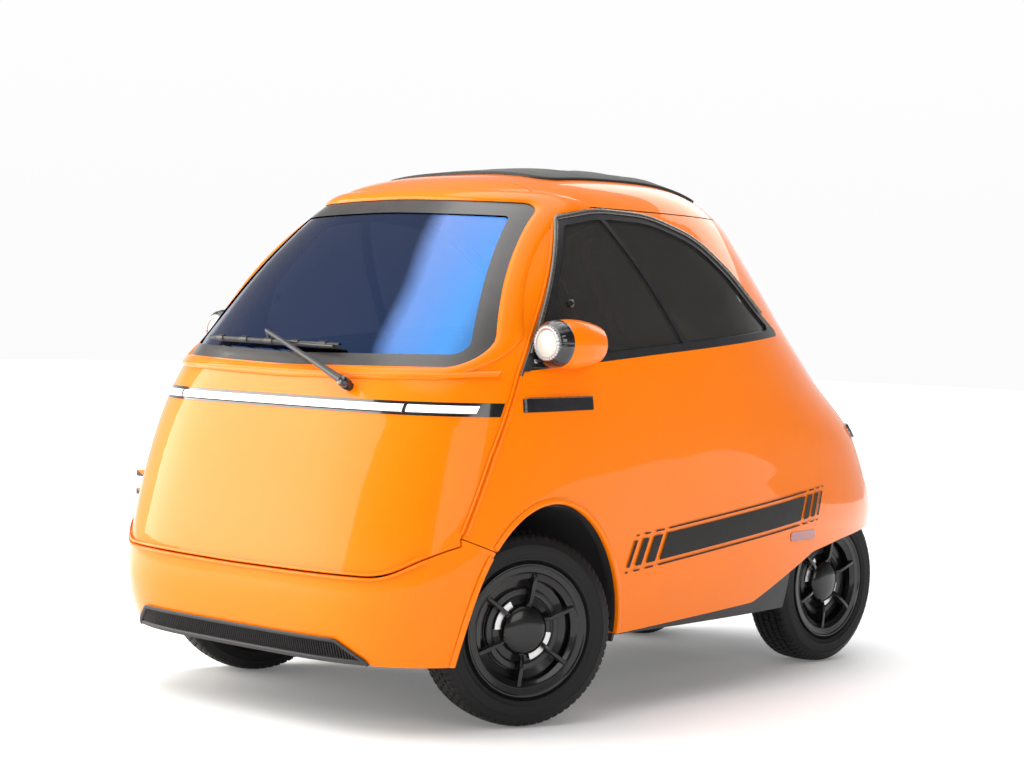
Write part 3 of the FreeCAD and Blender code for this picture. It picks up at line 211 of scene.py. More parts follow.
NODE_LOOKS = {
    PAINT: ["side_panel_left", "side_panel_right", "roof_shell", "front_bumper", "door_shell",
            "tailgate_shell", "pod_shell_left", "pod_shell_right"],
    BLACK_MATTE: ["floor_tub", "luggage_deck", "rear_valance", "arch_liner_left",
                  "arch_liner_right", "intake_grille", "seat_box", "battery_pack",
                  "steering_column", "steering_wheel", "door_bar"],
    TRIM_DARK: ["window_frame_left", "window_frame_right", "wiper"],
    BLACK_GLOSS: ["side_strips", "pod_bezels", "light_bar"],
    GLASS: ["windscreen"],
    DARK_GLASS: ["rear_window"],
    SMOKE_GLASS: ["side_glass_left", "side_glass_right"],
    RUBBER: ["screen_seal"],
    TYRE: ["tyre_front_left", "tyre_front_right", "tyre_rear_left", "tyre_rear_right"],
    WHEEL: ["rim_front_left", "rim_front_right", "rim_rear_left", "rim_rear_right"],
    STEEL: ["drive_unit", "front_subframe", "rear_axle", "knuckle_left", "knuckle_right"],
    MIRROR: ["pod_mirrors"],
    LAMP_RED: ["side_markers", "rear_lamp"],
    LED_CORE: ["pod_lenses"],
    FABRIC: ["fabric_top"],
    CLOTH: ["seat_cushion", "seat_back"],
}
# Material slot for the pieces of each look
for look, names in NODE_LOOKS.items():
    for name in names:
        data = NODES[name].data
        data.materials.clear()
        data.materials.append(look)


# The outer skin as one surface, for placing what lies on it
LENGTH = 2.519
HEIGHT = 1.496
BODY_WIDTH = 1.372
SECTIONS = [
    (0.080, 0.930, 0.960, 0.940, -0.476, 3.7, 3.6, 0.25),
    (0.130, 0.970, 0.985, 0.965, -0.476, 3.9, 3.8, 0.252),
    (0.200, 1.000, 1.002, 0.985, -0.476, 4.1, 4.0, 0.245),
    (0.285, 1.010, 0.996, 1.018, -0.476, 3.98, 4.1, 0.236),
    (0.350, 1.011, 0.979, 1.007, -0.474, 3.86, 4.08, 0.24),
    (0.420, 1.006, 0.960, 0.970, -0.468, 3.8, 3.95, 0.245),
    (0.490, 0.998, 0.934, 0.918, -0.458, 3.75, 3.75, 0.212),
    (0.550, 0.981, 0.908, 0.838, -0.448, 3.7, 3.15, 0.15),
    (0.600, 0.962, 0.879, 0.768, -0.436, 3.65, 2.68, 0.06),
    (0.640, 0.942, 0.846, 0.710, -0.424, 3.62, 2.58, 0.0),
    (0.700, 0.907, 0.785, 0.628, -0.408, 3.6, 2.6, 0.0),
    (0.760, 0.868, 0.725, 0.556, -0.394, 3.56, 2.65, 0.0),
    (0.810, 0.826, 0.676, 0.500, -0.365, 3.5, 2.66, 0.0),
    (0.855, 0.777, 0.629, 0.455, -0.325, 3.48, 2.64, 0.0),
    (0.895, 0.729, 0.585, 0.416, -0.270, 3.55, 2.6, 0.0),
    (0.930, 0.671, 0.541, 0.373, -0.215, 3.6, 2.55, 0.0),
    (0.960, 0.590, 0.492, 0.309, -0.160, 3.45, 2.45, 0.0),
    (0.982, 0.470, 0.396, 0.236, -0.100, 2.95, 2.4, 0.0),
    (0.995, 0.315, 0.266, 0.165, -0.050, 2.6, 2.4, 0.0),
    (1.000, 0.165, 0.145, 0.085, -0.020, 2.4, 2.4, 0.0),
]
SECTION_POINTS = 44
SKIN_STEPS = 6


def section_poles(scale):
    """Control points of the skin, one ring for each section."""
    rings = []
    for z, half, front, rear, widest, front_power, rear_power, taper in SECTIONS:
        middle = widest * LENGTH / 2.0
        ring = []
        for i in range(SECTION_POINTS):
            angle = 2.0 * math.pi * i / SECTION_POINTS
            c, s = math.cos(angle), math.sin(angle)
            power = rear_power if c > 0 else front_power
            reach = rear * scale[2] - middle if c > 0 else front * scale[1] + middle
            along = math.copysign(abs(c) ** (2.0 / power), c)
            across = math.copysign(abs(s) ** (2.0 / power), s)
            narrow = 1.0 - taper * max(along, 0.0) ** 1.5
            ring.append((half * scale[0] * across * narrow, middle + reach * along, z * HEIGHT))
        rings.append(ring)
    return np.array(rings)


def clamped_weights(count, steps):
    """Cubic B-spline weights of count poles at even steps along clamped knots."""
    knots = [0.0] * 3 + [float(i) for i in range(count - 2)] + [count - 3.0] * 3
    rows = []
    for t in np.linspace(0.0, count - 3.0 - 1e-9, (count - 3) * steps + 1):
        n = [1.0 if knots[i] <= t < knots[i + 1] else 0.0 for i in range(len(knots) - 1)]
        for k in range(1, 4):
            for i in range(len(n) - 1):
                a = knots[i + k] - knots[i]
                b = knots[i + k + 1] - knots[i + 1] if i + k + 1 < len(knots) else 0.0
                n[i] = ((t - knots[i]) / a * n[i] if a else 0.0) + (
                    (knots[i + k + 1] - t) / b * n[i + 1] if b else 0.0)
            n = n[:len(knots) - 1 - k]
        rows.append(n)
    return np.array(rows)


def ring_weights(count, steps):
    """Cubic B-spline weights of count poles in a closed ring."""
    rows = np.zeros((count * steps, count))
    for i in range(count * steps):
        base, t = divmod(i, steps)
        t /= steps
        for k, w in enumerate(((1 - t) ** 3, 3 * t ** 3 - 6 * t * t + 4,
                               -3 * t ** 3 + 3 * t * t + 3 * t + 1, t ** 3)):
            rows[i, (base + k) % count] += w / 6.0
    return rows


def skin_grid():
    up_weights = clamped_weights(len(SECTIONS), SKIN_STEPS)
    ring = ring_weights(SECTION_POINTS, SKIN_STEPS)
    scale = np.array([BODY_WIDTH / 2.0, LENGTH / 2.0, LENGTH / 2.0])
    for _ in range(2):
        grid = np.einsum("vs,up,spc->vuc", up_weights, ring, section_poles(scale))
        found = np.array([grid[..., 0].max(), -grid[..., 1].min(), grid[..., 1].max()])
        scale = scale * np.array([BODY_WIDTH, LENGTH, LENGTH]) / 2.0 / found
    return grid


SKIN = skin_grid()
rows, columns = SKIN.shape[:2]
skin_faces = [(v * columns + u, v * columns + (u + 1) % columns,
               (v + 1) * columns + (u + 1) % columns, (v + 1) * columns + u)
              for v in range(rows - 1) for u in range(columns)]
skin_faces.append(tuple((rows - 1) * columns + u for u in range(columns)))
SKIN_TREE = BVHTree.FromPolygons([tuple(p) for p in SKIN.reshape(-1, 3)], skin_faces)
WAYS = {"left": (Vector((2, 0, 0)), Vector((-1, 0, 0)), (1, 2)),
        "right": (Vector((-2, 0, 0)), Vector((1, 0, 0)), (1, 2)),
        "front": (Vector((0, -3, 0)), Vector((0, 1, 0)), (0, 2)),
        "rear": (Vector((0, 3, 0)), Vector((0, -1, 0)), (0, 2)),
        "top": (Vector((0, 0, 3)), Vector((0, 0, -1)), (0, 1))}


def on_skin(way, a, b, lift=0.0):
    """Point of the skin seen along a way at two coordinates, moved out by lift."""
    start, along, axes = WAYS[way]
    start = start.copy()
    start[axes[0]] = a
    start[axes[1]] = b
    hit, normal, _, _ = SKIN_TREE.ray_cast(start, along)
    if hit is None:
        return None
    if normal.dot(along) > 0:
        normal = -normal
    return hit + normal * lift


# Makers of pieces
def piece(name, verts, faces, look, body="body"):
    """Mesh that rides on a body; its slot is its look's."""
    data = bpy.data.meshes.new(name)
    data.from_pydata([tuple(v) for v in verts], [], faces)
    data.validate()
    data.update()
    made = put(name, data)
    data.materials.append(look)
    tidy = bmesh.new()
    tidy.from_mesh(data)
    bmesh.ops.remove_doubles(tidy, verts=tidy.verts, dist=1e-6)
    bmesh.ops.recalc_face_normals(tidy, faces=tidy.faces)
    tidy.to_mesh(data)
    tidy.free()
    for polygon in data.polygons:
        polygon.use_smooth = True
    if body:
        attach(made, body)
    return made


def modified(obj, kind, **settings):
    """obj with one modifier added and applied to its mesh."""
    modifier = obj.modifiers.new(kind, kind)
    for key, value in settings.items():
        setattr(modifier, key, value)
    depsgraph = bpy.context.evaluated_depsgraph_get()
    fresh = bpy.data.meshes.new_from_object(obj.evaluated_get(depsgraph))
    obj.modifiers.clear()
    obj.data = fresh
    return obj


def eased(points, radii, steps=6):
    """Closed outline in two dimensions with its corners rounded."""
    if not isinstance(radii, (list, tuple)):
        radii = [radii] * len(points)
    path = []
    for i, corner in enumerate(points):
        c = Vector(corner)
        back = Vector(points[i - 1]) - c
        on = Vector(points[(i + 1) % len(points)]) - c
        turned = back.angle(on)
        if radii[i] <= 0 or turned > math.pi - 1e-4:
            path.append(c)
            continue
        reach = min(radii[i] / math.tan(turned / 2.0), 0.49 * back.length, 0.49 * on.length)
        radius = reach * math.tan(turned / 2.0)
        middle = (back.normalized() + on.normalized()).normalized()
        centre = c + middle * (radius / math.sin(turned / 2.0))
        first = c + back.normalized() * reach - centre
        last = c + on.normalized() * reach - centre
        sweep = first.angle_signed(last)
        for k in range(steps + 1):
            angle = -sweep * k / steps
            path.append(centre + Vector((first.x * math.cos(angle) - first.y * math.sin(angle),
                                         first.x * math.sin(angle) + first.y * math.cos(angle))))
    return path


def spaced(path, step, closed=True):
    """Path with its long runs divided to about step."""
    made = []
    count = len(path)
    for i in range(count if closed else count - 1):
        a, b = Vector(path[i]), Vector(path[(i + 1) % count])
        parts = max(1, int(math.ceil((b - a).length / step)))
        for k in range(parts):
            made.append(a.lerp(b, k / parts))
    if not closed:
        made.append(Vector(path[-1]))
    return [p for i, p in enumerate(made) if i == 0 or (p - made[i - 1]).length > 1e-6]


def ribbon(name, path, profile, way, look, body="body", closed=True):
    """Strip along a path on the skin; profile lists (sideways, lift) from its one edge."""
    count = len(path)
    verts = []
    for i, p in enumerate(path):
        a = path[i - 1] if closed or i else path[i]
        b = path[(i + 1) % count] if closed or i < count - 1 else path[i]
        run = (Vector(b) - Vector(a)).normalized()
        side = Vector((run.y, -run.x))
        for off, lift in profile:
            q = Vector(p) + side * off
            verts.append(on_skin(way, q.x, q.y, lift))
    width = len(profile)
    faces = []
    for i in range(count if closed else count - 1):
        on = (i + 1) % count * width
        for j in range(width - 1):
            faces.append((i * width + j, i * width + j + 1, on + j + 1, on + j))
    return piece(name, verts, faces, look, body)


def patch(name, outline, way, lift, depth, step, look, body="body"):
    """Thin panel on the skin inside an outline, and a wall of depth round it."""
    verts = spaced(outline, step)
    edges = [(i, (i + 1) % len(verts)) for i in range(len(verts))]
    lows = [min(v[k] for v in verts) for k in (0, 1)]
    highs = [max(v[k] for v in verts) for k in (0, 1)]
    counts = [int((highs[k] - lows[k]) / step) for k in (0, 1)]
    for i in range(1, counts[0] + 1):
        for j in range(1, counts[1] + 1):
            verts.append(Vector((lows[0] + i * step - step / 2, lows[1] + j * step - step / 2)))
    flat, _, faces, _, _, _ = delaunay_2d_cdt(verts, edges, [], 2, 1e-7)
    used = sorted({i for f in faces for i in f})
    order = {v: i for i, v in enumerate(used)}
    placed = [on_skin(way, flat[i].x, flat[i].y, lift) for i in used]
    made = piece(name, placed, [tuple(order[i] for i in f) for f in faces], look, body)
    if depth:
        along = WAYS[way][1]
        rim = bmesh.new()
        rim.from_mesh(made.data)
        rim_edges = [e for e in rim.edges if e.is_boundary]
        grown = bmesh.ops.extrude_edge_only(rim, edges=rim_edges)
        bmesh.ops.translate(rim, vec=along * depth,
                            verts=[v for v in grown["geom"] if isinstance(v, bmesh.types.BMVert)])
        bmesh.ops.recalc_face_normals(rim, faces=rim.faces)
        rim.to_mesh(made.data)
        rim.free()
        sharpen(made)
    return made


def joined(name, parts):
    """One piece on the body from several of the same look."""
    whole = bmesh.new()
    look = parts[0].data.materials[0]
    for part in parts:
        whole.from_mesh(part.data)
        bpy.data.objects.remove(part)
    data = bpy.data.meshes.new(name)
    whole.to_mesh(data)
    whole.free()
    data.materials.append(look)
    made = put(name, data)
    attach(made, "body")
    return made


def sharpen(obj, degrees=35.0):
    """Smooth shading, but with edges sharper than an angle kept."""
    data = obj.data
    marks = bmesh.new()
    marks.from_mesh(data)
    for edge in marks.edges:
        edge.smooth = not (len(edge.link_faces) == 2
                           and edge.calc_face_angle(0.0) > math.radians(degrees))
    for face in marks.faces:
        face.smooth = True
    marks.to_mesh(data)
    marks.free()
    return obj


def tube(name, points, radii, look, body, sides):
    """Round bar along points in space, with a radius at each."""
    verts = []
    count = len(points)
    spine = [Vector(p) for p in points]
    reference = Vector((0, 0, 1))
    for i, p in enumerate(spine):
        run = (spine[min(i + 1, count - 1)] - spine[max(i - 1, 0)]).normalized()
        if abs(run.dot(reference)) > 0.95:
            reference = Vector((1, 0, 0))
        a = run.cross(reference).normalized()
        b = run.cross(a)
        for k in range(sides):
            angle = 2.0 * math.pi * k / sides
            verts.append(p + (a * math.cos(angle) + b * math.sin(angle)) * radii[i])
    faces = [(i * sides + k, i * sides + (k + 1) % sides, (i + 1) * sides + (k + 1) % sides,
              (i + 1) * sides + k) for i in range(count - 1) for k in range(sides)]
    faces.append(tuple(range(sides)))
    faces.append(tuple((count - 1) * sides + k for k in range(sides)))
    return sharpen(piece(name, verts, faces, look, body), 50.0)


def lathe(name, outline, steps, look, body, place, wave=None):
    """Turned piece about X; outline lists (x, radius); place moves it in space."""
    width = len(outline)
    verts = []
    for i in range(steps):
        angle = 2.0 * math.pi * i / steps
        for j, (x, r) in enumerate(outline):
            if wave:
                x, r = wave(angle, j, x, r)
            verts.append(place @ Vector((x, -r * math.sin(angle), r * math.cos(angle))))
    faces = [(i * width + j, i * width + j + 1, ((i + 1) % steps) * width + j + 1,
              ((i + 1) % steps) * width + j) for i in range(steps) for j in range(width - 1)]
    return sharpen(piece(name, verts, faces, look, body))


# Windscreen surround
SCREEN = [(-0.602, 0.938), (0.0, 0.926), (0.602, 0.938), (0.433, 1.380), (0.0, 1.392),
          (-0.433, 1.380)]
SCREEN_RADII = [0.062, 3.0, 0.062, 0.055, 3.0, 0.055]
screen_path = spaced(eased(SCREEN, SCREEN_RADII, 8), 0.02)
ribbon("screen_band", screen_path,
       [(0.004, -0.0052), (-0.006, -0.0060), (-0.016, -0.0062), (-0.026, -0.0062),
        (-0.036, -0.0066)],
       "front", FRIT, "front_door")
ribbon("screen_lip", screen_path,
       [(0.001, -0.004), (0.003, 0.0012), (0.008, 0.0030), (0.016, 0.0038), (0.024, 0.0030),
        (0.029, 0.0010), (0.031, -0.003)],
       "front", PAINT, "front_door")

# Side decal: a blank bar between slanted bars, with thin lines above and below
LINE_RISE = 0.0915
SLANT = 0.033
BAR_HEIGHT = 0.072
RULE_GAP = 0.011
RULE_WIDTH = 0.0045
BAR_BLOCKS = [(-0.442, 0.012), (-0.405, 0.026), (-0.356, 0.038), (-0.296, 0.735),
              (0.458, 0.030), (0.506, 0.022), (0.545, 0.012)]


def decal_point(along, up):
    """Point (y, z) on the decal's own slanted grid."""
    return (along + SLANT * up / BAR_HEIGHT, 0.417 + LINE_RISE * (along + 0.300) + up)


def decal_block(start, width, low, high):
    return [decal_point(start, low), decal_point(start + width, low),
            decal_point(start + width, high), decal_point(start, high)]


for side_name in ("left", "right"):
    blocks = []
    for start, width in BAR_BLOCKS:
        for low, high in ((0.0, BAR_HEIGHT), (-RULE_GAP - RULE_WIDTH, -RULE_GAP),
                          (BAR_HEIGHT + RULE_GAP, BAR_HEIGHT + RULE_GAP + RULE_WIDTH)):
            blocks.append(patch("decal_block", decal_block(start, width, low, high), side_name,
                                0.0006, 0.0, 0.02, DECAL, None))
    joined("decal_" + side_name, blocks)

# Light bar: three glowing strips over the black bar
BAR_Z = 0.831
BAR_HALF = 0.0095
for name, x0, x1 in (("right", -0.600, -0.390), ("middle", -0.381, 0.470),
                     ("left", 0.479, 0.612)):
    ribbon("led_" + name, spaced([(x0, BAR_Z), (x1, BAR_Z)], 0.02, False),
           [(-BAR_HALF, 0.0012), (-BAR_HALF + 0.002, 0.0034), (0.0, 0.0042),
            (BAR_HALF - 0.002, 0.0034), (BAR_HALF, 0.0012)],
           "front", LED, "front_door", closed=False)

# Satin line over each side window
WINDOW = [(-0.808, 0.931), (-0.300, 0.976), (0.462, 1.037), (0.318, 1.116), (0.195, 1.214),
          (0.042, 1.309), (-0.170, 1.364), (-0.380, 1.368), (-0.548, 1.340)]
WINDOW_RADII = [0.006, 3.0, 0.010, 0.7, 0.7, 0.5, 0.5, 0.6, 0.026]
window_path = spaced(eased(WINDOW, WINDOW_RADII, 8), 0.02)
top_run = [p for p in window_path if p.y > 0.99 + 0.11 * (p.x + 0.6)]
for side_name in ("left", "right"):
    ribbon("window_trim_" + side_name, top_run,
           [(-0.004, -0.001), (-0.003, 0.002), (0.002, 0.0032), (0.007, 0.002), (0.008, -0.001)],
           side_name, SATIN_BAR, closed=False)

# Cabin lining on the shells' inner faces, and dark hinge barrels
LINED = ["side_panel_left", "side_panel_right", "roof_shell", "door_shell", "tailgate_shell",
         "front_bumper"]
LINING_DEPTH = 0.012
DOOR_PIN = Vector((-0.638, -1.041))
BARREL_REACH = (0.0135, 0.042)
BARREL_LOW, BARREL_HIGH = 0.50, 0.63
BARREL_PROUD = 0.0008
for name in LINED:
    data = NODES[name].data
    data.materials.append(CABIN)
    data.materials.append(TRIM_DARK)
    for polygon in data.polygons:
        spot = polygon.center
        if all(SKIN_TREE.find_nearest(data.vertices[i].co)[3] > LINING_DEPTH
               for i in polygon.vertices):
            polygon.material_index = 1
        if (abs(spot.x - DOOR_PIN.x) < BARREL_REACH[0]
                and abs(spot.y - DOOR_PIN.y) < BARREL_REACH[1]
                and BARREL_LOW < spot.z < BARREL_HIGH
                and SKIN_TREE.find_nearest(spot)[3] > BARREL_PROUD):
            polygon.material_index = 2


# Wheels: each is drawn about X with its face toward +X, then placed
AXLE_Z = 0.2555
FRONT_AXLE_Y = -0.724
REAR_AXLE_Y = 0.842
REST_STEER = math.radians(-19.0)


def wheel_place(side, front):
    """Move from a wheel's own axis to where it stands."""
    out = 0.560 if front else 0.358
    spot = Matrix.Translation((side * out, FRONT_AXLE_Y if front else REAR_AXLE_Y, AXLE_Z))
    if side < 0:
        spot = spot @ Matrix.Scale(-1.0, 4, (1, 0, 0))
    if front:
        pin = Matrix.Translation((side * 0.500, FRONT_AXLE_Y, 0.0))
        spot = pin @ Matrix.Rotation(REST_STEER, 4, "Z") @ pin.inverted() @ spot
    return spot


TYRE_FLANK = [(0.0575, 0.1606), (0.0575, 0.1765), (0.0605, 0.1800), (0.0652, 0.1830),
              (0.0686, 0.1848), (0.0692, 0.1880), (0.0697, 0.1895), (0.0690, 0.1908),
              (0.0706, 0.1960), (0.0719, 0.1975), (0.0717, 0.2005), (0.0722, 0.2090),
              (0.0724, 0.2180), (0.0716, 0.2230), (0.0728, 0.2243), (0.0712, 0.2268),
              (0.0690, 0.2310), (0.0664, 0.2350), (0.0650, 0.2385), (0.0618, 0.2440),
              (0.0572, 0.2492), (0.0530, 0.2516)]
TREAD_GROOVES = [0.0360, 0.0125, -0.0125, -0.0360]
TREAD_DEPTH = 0.0050
TREAD_STEPS = 360
TREAD_BLOCKS = 5


def tread_radius(x):
    return 0.2555 - 0.0036 * (x / 0.053) ** 2


tread = []
for x in TREAD_GROOVES:
    tread += [(x + 0.0026, tread_radius(x + 0.0026)), (x + 0.0018, tread_radius(x) - TREAD_DEPTH),
              (x - 0.0018, tread_radius(x) - TREAD_DEPTH), (x - 0.0026, tread_radius(x - 0.0026))]
    if x > TREAD_GROOVES[-1]:
        tread.append((x - 0.012, tread_radius(x - 0.012)))
tyre_outline = TYRE_FLANK + tread + [(-x, r) for x, r in TYRE_FLANK[::-1]]


def tread_wave(angle, j, x, r):
    """Cuts across the tread's blocks, staggered from rib to rib."""
    step = round(angle / (2.0 * math.pi) * TREAD_STEPS)
    rib = sum(1 for g in TREAD_GROOVES if x < g)
    if r > 0.2430 and (step + 2 * rib) % TREAD_BLOCKS == 0:
        return x * (0.985 if abs(x) > 0.05 else 1.0), r - 0.0032
    return x, r


RIM_RING = [(0.0592, 0.1744), (0.0672, 0.1752), (0.0694, 0.1738), (0.0692, 0.1705),
            (0.0660, 0.1672), (0.0640, 0.1640), (0.0634, 0.1540), (0.0652, 0.1520),
            (0.0656, 0.1500), (0.0640, 0.1478), (0.0616, 0.1440), (0.0600, 0.1385),
            (0.0572, 0.1335), (0.0420, 0.1300), (0.0335, 0.1300)]
HUB_DOME = [(0.0370, 0.0668), (0.0480, 0.0662), (0.0550, 0.0620), (0.0610, 0.0510),
            (0.0648, 0.0340), (0.0664, 0.0170), (0.0668, 0.0002)]
HUB_STEP = [(0.0345, 0.1080), (0.0395, 0.1060), (0.0405, 0.1030), (0.0400, 0.0920),
            (0.0360, 0.0890), (0.0345, 0.0860)]
BLADE = [(0.0640, 0.0340), (0.0650, 0.0560), (0.0760, 0.0640), (0.1000, 0.0672),
         (0.1400, 0.0680), (0.1480, 0.0665), (0.1505, 0.0610), (0.1500, 0.0400)]
BLADE_HALF = 0.0056
FIN_TURN = 8.0
SILVER_ARCS = [(28.0, 88.0), (196.0, 262.0)]


def blades(name, body, place):
    """Six raised fins over the wheel's disc."""
    verts = []
    faces = []
    for i in range(6):
        turned = Matrix.Rotation(math.radians(60.0 * i - FIN_TURN), 4, "X")
        first = len(verts)
        for across in (-BLADE_HALF, BLADE_HALF):
            verts += [place @ (turned @ Vector((x, across, r))) for r, x in BLADE]
        count = len(BLADE)
        faces.append(tuple(first + k for k in range(count)))
        faces.append(tuple(first + count + k for k in range(count)))
        faces += [(first + k, first + (k + 1) % count, first + count + (k + 1) % count,
                   first + count + k) for k in range(count)]
    made = piece(name, verts, faces, WHEEL, body)
    modified(made, "BEVEL", width=0.0018, segments=3, limit_method="ANGLE")
    return sharpen(made, 50.0)


def silver_arcs(name, body, place):
    """Bright arcs on the disc, beside the hub's dome."""
    verts = []
    faces = []
    for start, end in SILVER_ARCS:
        steps = 14
        first = len(verts)
        for k in range(steps + 1):
            angle = math.radians(start + (end - start) * k / steps)
            for x, r in ((0.0400, 0.0650), (0.0418, 0.0660), (0.0418, 0.0835), (0.0396, 0.0850)):
                verts.append(place @ Vector((x, -r * math.sin(angle), r * math.cos(angle))))
        for k in range(steps):
            for j in range(3):
                a = first + k * 4 + j
                faces.append((a, a + 1, a + 5, a + 4))
    return sharpen(piece(name, verts, faces, ALUMINIUM, body))


for end_name, front in (("front", True), ("rear", False)):
    for side_name, side in (("left", 1.0), ("right", -1.0)):
        spot = wheel_place(side, front)
        label = end_name + "_" + side_name
        body = "wheel_" + label
        tyre = lathe("tread_" + label, tyre_outline, TREAD_STEPS, TYRE, body, spot,
                     tread_wave)
        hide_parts("tyre_" + label)
        lathe("rim_ring_" + label, RIM_RING, 96, WHEEL, body, spot)
        lathe("hub_dome_" + label, HUB_DOME, 64, WHEEL, body, spot)
        lathe("hub_step_" + label, HUB_STEP, 64, TRIM_DARK, body, spot)
        blades("blades_" + label, body, spot)
        silver_arcs("silver_arcs_" + label, body, spot)

# Lamp pods: a faceted black ring and a fluted bright ring round each lens
BEZEL = [(-0.0004, 0.0609), (0.0040, 0.0618), (0.0120, 0.0612), (0.0240, 0.0584),
         (0.0340, 0.0535), (0.0390, 0.0485), (0.0392, 0.0452), (0.0300, 0.0446)]
LIGHT_RING = [(0.0340, 0.0450), (0.0410, 0.0447), (0.0446, 0.0428), (0.0455, 0.0400),
              (0.0440, 0.0372), (0.0415, 0.0360)]
POD_AT = (0.672, -0.740, 1.003)


def petals(angle, j, x, r):
    return x, r + (0.0009 * abs(math.cos(9.0 * angle)) if 1 <= j <= 4 else 0.0)


def fluted(angle, j, x, r):
    wobble = math.cos(30.0 * angle)
    return x + 0.0006 * wobble, r + 0.0008 * wobble


for side_name, side in (("left", 1.0), ("right", -1.0)):
    spot = Matrix.Translation((side * POD_AT[0], POD_AT[1], POD_AT[2])) @ Matrix.Rotation(
        -math.pi / 2.0, 4, "Z")
    lathe("pod_ring_" + side_name, BEZEL, 144, BLACK_GLOSS, "body", spot, petals)
    lathe("pod_light_" + side_name, LIGHT_RING, 180, ALUMINIUM, "body", spot,
          fluted)

# Intake: a lip round it, a low bar and fine upright ribs
INTAKE = [(-0.484, 0.152), (0.484, 0.152), (0.462, 0.195), (0.388, 0.244), (-0.388, 0.244),
          (-0.462, 0.195)]
INTAKE_RADII = [0.0, 0.0, 0.060, 0.024, 0.024, 0.060]
intake_path = [p for p in spaced(eased(INTAKE, INTAKE_RADII, 8), 0.012) if p.y > 0.184]
intake_path = [p for p in intake_path if p.x > 0.0] + [p for p in intake_path if p.x <= 0.0]
ribbon("intake_lip", intake_path,
       [(0.0030, 0.0008), (0.0010, 0.0026), (-0.0040, 0.0028), (-0.0072, 0.0010),
        (-0.0080, -0.0088)],
       "front", BLACK_MATTE, closed=False)
ribbon("intake_bar", spaced([(-0.462, 0.1865), (0.462, 0.1865)], 0.02, False),
       [(-0.0080, -0.0088), (-0.0072, -0.0010), (-0.0040, 0.0006), (0.0020, 0.0008),
        (0.0044, -0.0008)],
       "front", BLACK_MATTE, closed=False)
rib_verts = []
rib_faces = []
for i in range(-53, 54):
    x = 0.0082 * i
    top = min(0.2355, 0.195 + (0.452 - abs(x)) * 0.66)
    if top < 0.196:
        continue
    first = len(rib_verts)
    for z in (0.1935, 0.5 * (0.1935 + top), top):
        for off, lift in ((-0.0019, -0.0088), (-0.0008, -0.0036), (0.0008, -0.0036),
                          (0.0019, -0.0088)):
            rib_verts.append(on_skin("front", x + off, z, lift))
    for k in range(2):
        for j in range(3):
            a = first + 4 * k + j
            rib_faces.append((a, a + 1, a + 5, a + 4))
sharpen(piece("intake_ribs", rib_verts, rib_faces, TRIM_DARK))

# Rolled edge of each front wheel arch, split at the bumper's seam
ARCH_Y = -0.738
arch_path = [Vector((ARCH_Y + 0.285, 0.2262))]
for i in range(2, 46):
    angle = math.pi * i / 48.0
    arch_path.append(Vector((ARCH_Y + 0.285 * math.cos(angle), 0.200 + 0.390 * math.sin(angle))))
arch_path += [Vector((ARCH_Y - 0.285, 0.2262)), Vector((ARCH_Y - 0.285, 0.1835))]
ARCH_LIP = [(-0.0010, -0.012), (-0.0012, -0.001), (0.0010, 0.0022), (0.0050, 0.0034),
            (0.0095, 0.0026), (0.0130, 0.0008), (0.0150, -0.001)]
SEAM_AT = 0.4665
behind = [p for p in arch_path if p.x > ARCH_Y or p.y > SEAM_AT]
ahead_of = [p for p in arch_path if p.x < ARCH_Y and p.y < SEAM_AT - 0.003]
for side_name in ("left", "right"):
    for part, run in (("arch_lip_", behind), ("arch_lip_low_", ahead_of)):
        ribbon(part + side_name, run, ARCH_LIP, side_name, PAINT, closed=False)

# Rounded panel edges along the door's gap, with a satin stretch beside the side window
DOOR_CUT = [(-1.040, 0.508), (-0.946, 0.718), (-0.836, 0.922), (-0.557, 1.338), (-0.545, 1.392)]
HINGE_CUT = [(-1.041, 0.640), (-0.836, 0.922), (-0.557, 1.338), (-0.545, 1.392)]
DOOR_FOOT = [(-0.735, 0.600), (-0.640, 0.495), (-0.520, 0.412), (0.0, 0.408), (0.520, 0.412),
             (0.640, 0.495), (0.735, 0.600), (0.735, 1.5), (-0.735, 1.5)]
DOOR_FOOT_RADII = [0.0, 0.090, 0.150, 2.5, 0.150, 0.090, 0.0, 0.0, 0.0]
EDGE_IN = [(-0.0002, -0.005), (-0.0003, -0.0004), (-0.0016, 0.0009), (-0.0045, 0.0012),
           (-0.0075, -0.0004)]
for side_name, cut in (("left", DOOR_CUT), ("right", HINGE_CUT)):
    run = spaced(cut, 0.015, False)[1:]
    ribbon("door_edge_" + side_name, run, EDGE_IN, side_name, PAINT, "front_door",
           closed=False)
    for part, look, keep in (("pillar_edge_", PAINT, lambda z: z < 0.930),
                             ("pillar_trim_", SATIN_BAR, lambda z: 0.920 < z < 1.345),
                             ("pillar_top_", PAINT, lambda z: z > 1.335)):
        ribbon(part + side_name, [p for p in run if keep(p.y)],
               [(0.0044 - off, lift) for off, lift in EDGE_IN], side_name, look, closed=False)
foot_path = [p for p in spaced(eased(DOOR_FOOT, DOOR_FOOT_RADII, 10), 0.015)
             if p.y < 0.47 and abs(p.x) < 0.62]
ribbon("door_foot_edge", foot_path, EDGE_IN, "front", PAINT, "front_door",
       closed=False)
ribbon("bumper_edge", foot_path, [(0.0052 - off, lift) for off, lift in EDGE_IN], "front",
       PAINT, closed=False)

# Step of the cowl under the windscreen
cowl_run = spaced([(-0.600, 0.916), (-0.455, 0.912), (0.290, 0.910),
                   (0.554, 0.914), (0.612, 0.920)], 0.02, False)
ribbon("cowl_step", cowl_run,
       [(-0.0120, -0.0010), (-0.0060, 0.0034), (0.0, 0.0052), (0.0032, 0.0044),
        (0.0040, -0.0020)],
       "front", PAINT, "front_door", closed=False)

